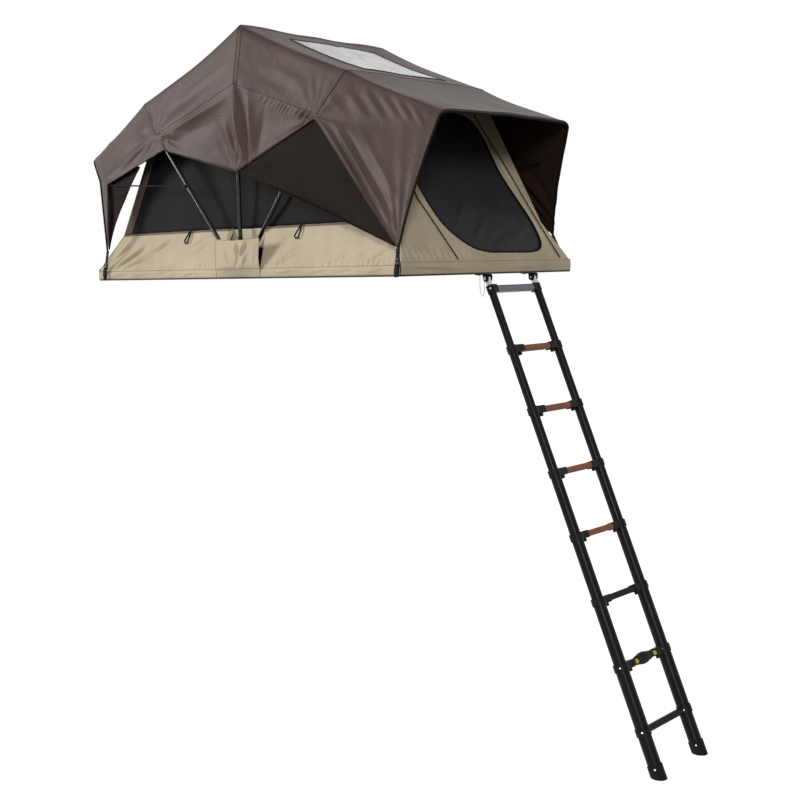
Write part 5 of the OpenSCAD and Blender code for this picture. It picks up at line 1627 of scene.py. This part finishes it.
# %% Inner roof
ROOF_COLUMNS, ROOF_ROWS = 60, 40
ROOF_INSET = 0.012
ROOF_OVER = 0.0015
INNER_SAG = 0.012
ROOF_END = END_TOP_X - ROOF_INSET
roof = np.zeros((ROOF_COLUMNS + 1, ROOF_ROWS + 1, 3))
for i, x in enumerate(np.linspace(-ROOF_END, ROOF_END, ROOF_COLUMNS + 1)):
    for j, v in enumerate(np.linspace(-1, 1, ROOF_ROWS + 1)):
        z = float(roof_z(x))
        slack = INNER_SAG * math.cos(math.pi * v / 2) * abs(math.sin(math.pi * x / END_TOP_X))
        roof[i, j] = (x, v * (wall_y(z) + ROOF_OVER), z - slack)
inner_roof = add_piece("inner_roof", sheet_mesh(roof), wall_canvas)
thicken(inner_roof)
fan_with_bows(inner_roof)
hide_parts("inner_roof")
print("inner roof", roof.shape)

# %% [markdown]
# ## Corner ties
# Each tip of the fly is held down by a strap of webbing with a side-release buckle and a loose
# tail. Webbing is a narrow grid with thickness, the buckle two bevelled mouldings and two prongs.

# %% Tie helpers
WEB_W = 0.022
WEB_T = 2 * MM
# The buckle's boxes, each with its middle and its size: socket, plug and two prongs
BUCKLE_BOXES = [
    ((0, -0.008, 0), (0.030, 0.017, 0.007)),
    ((0, 0.009, 0), (0.026, 0.013, 0.007)),
    ((-0.0105, 0.001, 0), (0.004, 0.012, 0.005)),
    ((0.0105, 0.001, 0), (0.004, 0.012, 0.005)),
]
BUCKLE_EDGE = 1.2 * MM


def strap(name, points, wide, finish):
    """A strap of webbing along a line of points, its thickness on both sides of it."""
    points = np.array(points)
    rows = np.stack([points + np.array(wide) * w for w in (-0.5, -0.25, 0, 0.25, 0.5)], axis=1)
    piece = add_piece(name, sheet_mesh(rows), finish)
    wall = piece.modifiers.new("thickness", "SOLIDIFY")
    wall.thickness = WEB_T
    wall.offset = 0
    return piece


def buckle(name, centre, along):
    """A side-release buckle, its length along a direction, its back to the tent."""
    along = Vector(along).normalized()
    out = Vector((0, math.copysign(1, centre[1]), 0))
    out = (out - along * out.dot(along)).normalized()
    side = along.cross(out)
    turn = Matrix((side, along, out)).transposed().to_4x4()
    bm = bmesh.new()
    for at, size in BUCKLE_BOXES:
        box = Matrix.Translation(at) @ Matrix.Diagonal((*size, 1))
        made = bmesh.ops.create_cube(bm, size=1, matrix=box)
        edges = list({e for v in made["verts"] for e in v.link_edges})
        bmesh.ops.bevel(
            bm, geom=edges, offset=BUCKLE_EDGE, segments=2, profile=0.5, affect="EDGES", material=-1,
        )
    bmesh.ops.transform(bm, matrix=Matrix.Translation(centre) @ turn, verts=bm.verts)
    bmesh.ops.recalc_face_normals(bm, faces=bm.faces)
    return add_piece(name, bm, buckle_acetal)


print("webbing", WEB_W / MM, "by", WEB_T / MM, "mm")

# %% [markdown]
# A tie runs straight from its foot on the floor to the tip of the fly. The buckle sits half way up,
# and the loose tail hangs from just below it and curls out.

# %% Corner ties
TIE_FOOT_Y = 0.634
TIE_FOOT_Z = 0.003
TIE_BELOW = 0.001
TIE_CORNERS = [
    ("car", (car_flap, car_flap), -1.082),
    ("ladder", (near_tip, far_tip), 1.128),
]
TAIL_AT, BUCKLE_AT = 0.42, 0.5
TAIL_L = 0.055
TAIL_W = 0.9
TAIL_OUT, TAIL_CURL = 0.006, 0.010
for half, tips, foot_x in TIE_CORNERS:
    for side, sign, flap in (("near", 1, tips[0]), ("far", -1, tips[1])):
        tip = flap * [1, sign, 1] - [0, 0, TIE_BELOW]
        foot = np.array([foot_x, -TIE_FOOT_Y * sign, TIE_FOOT_Z])
        path = [foot + (tip - foot) * t for t in np.linspace(0, 1, 25)]
        name = f"{side}_{half}_tie"
        wide = np.array([WEB_W, 0, 0])
        tie_strap = strap(name, path, wide * sign, webbing)
        tail = []
        for t in np.linspace(0, 1, 13):
            out = TAIL_OUT + TAIL_CURL * math.sin(2.2 * t)
            hang = np.array([0.004 * t, -sign * out, -TAIL_L * t])
            tail.append(foot + (tip - foot) * TAIL_AT + hang)
        tail_strap = strap(name + "_tail", tail, wide * sign * TAIL_W, webbing)
        middle = Vector(foot + (tip - foot) * BUCKLE_AT)
        clip = buckle(name + "_buckle", middle, Vector(tip - foot))
        for piece in (tie_strap, tail_strap, clip):
            fan_with_bows(piece)
        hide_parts(half + "_corner_ties")
        print(name, "length", round(float(np.linalg.norm(tip - foot)), 3))

# %% [markdown]
# ## Mattress
# Two quilted foam mats lie on the floor halves. A mat is a closed crowned form: a grid for its top
# drawn down round its edge to a flat base. They are hidden by the walls, so no simulation is run.

# %% Mattresses
MAT_L, MAT_W, MAT_T = 1.060, 1.010, 0.044
MAT_GAP = 0.015
MAT_Z = 0.031
MAT_COLUMNS, MAT_ROWS = 48, 44
CROWN_FLAT = 0.18
QUILT_H, QUILT_ROLLS = 0.004, 6


def mattress(name, end, body, node):
    """One mat. Its crown is flat on top and falls steeply round the edge."""
    top = np.zeros((MAT_COLUMNS + 1, MAT_ROWS + 1, 3))
    for i in range(MAT_COLUMNS + 1):
        for j in range(MAT_ROWS + 1):
            u, v = i / MAT_COLUMNS, j / MAT_ROWS
            inside = 0 < u < 1 and 0 < v < 1
            crown = (math.sin(math.pi * u) * math.sin(math.pi * v)) ** CROWN_FLAT if inside else 0
            quilt = QUILT_H * abs(math.sin(QUILT_ROLLS * math.pi * v)) * crown
            x = end * (MAT_GAP + MAT_L * u)
            top[i, j] = (x, (v - 0.5) * MAT_W, MAT_Z + MAT_T * crown + quilt)
    bm = sheet_mesh(top if end > 0 else top[::-1])
    rim = [e for e in bm.edges if e.is_boundary]
    bmesh.ops.holes_fill(bm, edges=rim, sides=0)
    bmesh.ops.recalc_face_normals(bm, faces=bm.faces)
    piece = add_piece(name, bm, mattress_cloth)
    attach(piece, body)
    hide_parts(node)
    print(name, "top at", round(top[..., 2].max(), 3))


mattress("car_mat", -1, "car_base", "car_mattress")
mattress("ladder_mat", 1, "ladder_base", "ladder_mattress")

# %% [markdown]
# ## Ladder details
# The caps of the ladder and the collars and feet of its lowest section are held by bright rivets, and
# that section has a rubber grip. These small shapes are placed in the ladder's own upright frame and
# then leaned with it.

# %% Ladder frame
LADDER_LEAN = math.radians(22.9)
HANGER_Z = -0.0206
HANGER_DROP = 0.054
RUNG_PITCH = 0.300
FOOT_RUNG_Z = -RUNG_PITCH * 7 + 0.015
FOOT_Z = FOOT_RUNG_Z - 0.188
BOTH_STILES = (-STILE_Y, STILE_Y)
THINNEST_R, STEP_R = 0.018, 0.0021
ladder_frame = (
    Matrix.Translation((HANGER_X, LADDER_Y, HANGER_Z))
    @ Matrix.Rotation(-LADDER_LEAN, 4, "Y")
    @ Matrix.Translation((0, 0, -HANGER_DROP))
)


def stile_radius(section):
    """Outer radius of a section's tubes, counted from the top."""
    return THINNEST_R + STEP_R * (section - 1)


print("ladder leans", round(math.degrees(LADDER_LEAN), 1), "degrees, lowest tube", stile_radius(7))

# %% [markdown]
# A rivet's head is a sphere, flattened along the way it faces and sunk half into the tube.

# %% Ladder rivets
RIVET_R = 0.0045
RIVET_FLAT = 0.45
RIVET_TURN = math.radians(-63)
COLLAR_WALL = 0.004
CAP_WALL = 0.003
RIVET_UP, FOOT_RIVET_UP = 0.002, 0.026


def rivets(name, body, places):
    """Round heads on the ladder. A place is the tube's y, its outer radius and the height."""
    bm = bmesh.new()
    facing = Matrix.Rotation(RIVET_TURN, 4, "Z")
    flatten = Matrix.Diagonal((RIVET_FLAT, 1, 1, 1))
    for y, out, z in places:
        head = Matrix.Translation((0, y, z)) @ facing @ Matrix.Translation((out, 0, 0)) @ flatten
        bmesh.ops.create_uvsphere(bm, u_segments=18, v_segments=10, radius=RIVET_R, matrix=head)
    bmesh.ops.transform(bm, matrix=ladder_frame, verts=bm.verts)
    piece = add_piece(name, bm, rivet_steel)
    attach(piece, body)
    print(name, len(places))


top_out = stile_radius(1) + CAP_WALL
rivets("rivets_top", "ladder_1", [(y, top_out, RIVET_UP) for y in BOTH_STILES])
low_out = stile_radius(7) + COLLAR_WALL
low_heights = (-RUNG_PITCH * 6 + RIVET_UP, FOOT_RUNG_Z, FOOT_Z + FOOT_RIVET_UP)
rivets("rivets_low", "ladder_7", [(y, low_out, z) for y in BOTH_STILES for z in low_heights])

# %% [markdown]
# The grip on the lowest section is a rubber spindle pushed over the rung, thickest in its middle. It is
# round, so it is a spin: a profile is turned a full circle about the rung's line and merged. The
# profile is listed from the middle to one end and mirrored.

# %% Ladder grip
GRIP_HALF = 0.055
GRIP_SIDE = [
    (0, 0.0276), (0.2, 0.0270), (0.45, 0.0245), (0.7, 0.0214), (0.88, 0.0206), (0.97, 0.0198),
    (1.0, 0.0170),
]
GRIP_PROFILE = [(-t, r) for t, r in GRIP_SIDE[:0:-1]] + GRIP_SIDE
GRIP_STEPS = 48
GRIP_MERGE = 1e-6
bm = bmesh.new()
line = [bm.verts.new((0, t * GRIP_HALF, r)) for t, r in GRIP_PROFILE]
edges = [bm.edges.new(pair) for pair in zip(line, line[1:])]
bmesh.ops.spin(
    bm, geom=line + edges, cent=(0, 0, 0), axis=(0, 1, 0),
    angle=2 * math.pi, steps=GRIP_STEPS, use_merge=True,
)
rims = [e for e in bm.edges if e.is_boundary]
bmesh.ops.holes_fill(bm, edges=rims, sides=0)
bmesh.ops.remove_doubles(bm, verts=bm.verts, dist=GRIP_MERGE)
bmesh.ops.recalc_face_normals(bm, faces=bm.faces)
grip_place = ladder_frame @ Matrix.Translation((0, 0, -RUNG_PITCH * 6))
bmesh.ops.transform(bm, matrix=grip_place, verts=bm.verts)
grip = add_piece("ladder_grip", bm, grip_rubber)
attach(grip, "ladder_7")
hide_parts("handle_grip")
print("grip", len(grip.data.vertices), "points")

# %% [markdown]
# ## Stage and light
# The photograph is a studio cut-out on white. The floor and the world are white to the camera, to
# reflections and through clear film only, so this white adds no light to the tent, and the floor
# keeps a faint shadow.

# %% Floor
WHITE = (1, 1, 1, 1)
FLOOR_GREY = (0.25, 0.25, 0.25, 1)
FLOOR_SIZE = 40
FLOOR_BELOW = 0.001
GROUND_Z = cad_low.z


def seen_as_white(tree):
    """A value that is 1 for rays from the camera, off a gloss or through film, and else 0."""
    ray = add_node(tree, "ShaderNodeLightPath")
    rays = {0: ray.outputs["Is Camera Ray"], 1: ray.outputs["Is Glossy Ray"]}
    seen = add_node(tree, "ShaderNodeMath", rays, operation="MAXIMUM")
    rays = {0: seen.outputs["Value"], 1: ray.outputs["Is Transmission Ray"]}
    return add_node(tree, "ShaderNodeMath", rays, operation="MAXIMUM").outputs["Value"]


bm = bmesh.new()
bmesh.ops.create_grid(bm, x_segments=1, y_segments=1, size=FLOOR_SIZE)
bmesh.ops.translate(bm, verts=bm.verts, vec=(0, 0, GROUND_Z - FLOOR_BELOW))
floor = add_piece("floor", bm)
floor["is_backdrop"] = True
floor_finish = bpy.data.materials.new("studio_floor_white")
floor_finish.use_nodes = True
tree = floor_finish.node_tree
tree.nodes.clear()
glow = add_node(tree, "ShaderNodeEmission", {"Color": WHITE, "Strength": seen_as_white(tree)})
matt = add_node(tree, "ShaderNodeBsdfDiffuse", {"Color": FLOOR_GREY})
both = add_node(tree, "ShaderNodeAddShader", {0: glow.outputs["Emission"], 1: matt.outputs["BSDF"]})
add_node(tree, "ShaderNodeOutputMaterial", {"Surface": both.outputs["Shader"]})
floor.data.materials.append(floor_finish)
print("ground at", round(GROUND_Z, 3))

# %% [markdown]
# The world is the fill light. It shines evenly from all round, at a low strength, and shows as
# white behind the tent.

# %% World
FILL = 0.28
world = bpy.data.worlds.new("studio")
scene.world = world
world.use_nodes = True
tree = world.node_tree
tree.nodes.clear()
strength = add_node(tree, "ShaderNodeMapRange",
                    {"Value": seen_as_white(tree), "To Min": FILL, "To Max": 1.0})
sky = add_node(tree, "ShaderNodeBackground", {"Color": WHITE, "Strength": strength.outputs["Result"]})
add_node(tree, "ShaderNodeOutputWorld", {"Surface": sky.outputs["Background"]})
print("fill", FILL)

# %% [markdown]
# A broad sun from the front left is the key light, and a weaker one from the right opens the end
# wall and rakes across its gathers. Area lamps would fall off across so long an object. A sun
# doesn't, and its angle softens the shadows as a large softbox does.

# %% Lamps


def sun(name, comes_from, energy, angle):
    """A sun lamp that shines from a direction. Its angle, in degrees, is how wide it looks."""
    lamp = bpy.data.objects.new(name, bpy.data.lights.new(name, "SUN"))
    lamp.data.energy = energy
    lamp.data.angle = math.radians(angle)
    lamp.rotation_euler = Vector(comes_from).to_track_quat("Z", "Y").to_euler()
    scene.collection.objects.link(lamp)
    print(name, "light of", energy)


sun("key", comes_from=(-0.74, -0.62, 0.25), energy=2.1, angle=18)
sun("side", comes_from=(0.66, -0.69, 0.30), energy=1.1, angle=16)

# %% [markdown]
# ## Sizes and finish
# The dressed tent should be as large as its frame, give or take the thickness of its folds, so both
# boxes are written down and can be compared.

# %% Finish
low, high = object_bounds()
print("visual box", [round(v, 3) for v in low], [round(v, 3) for v in high])
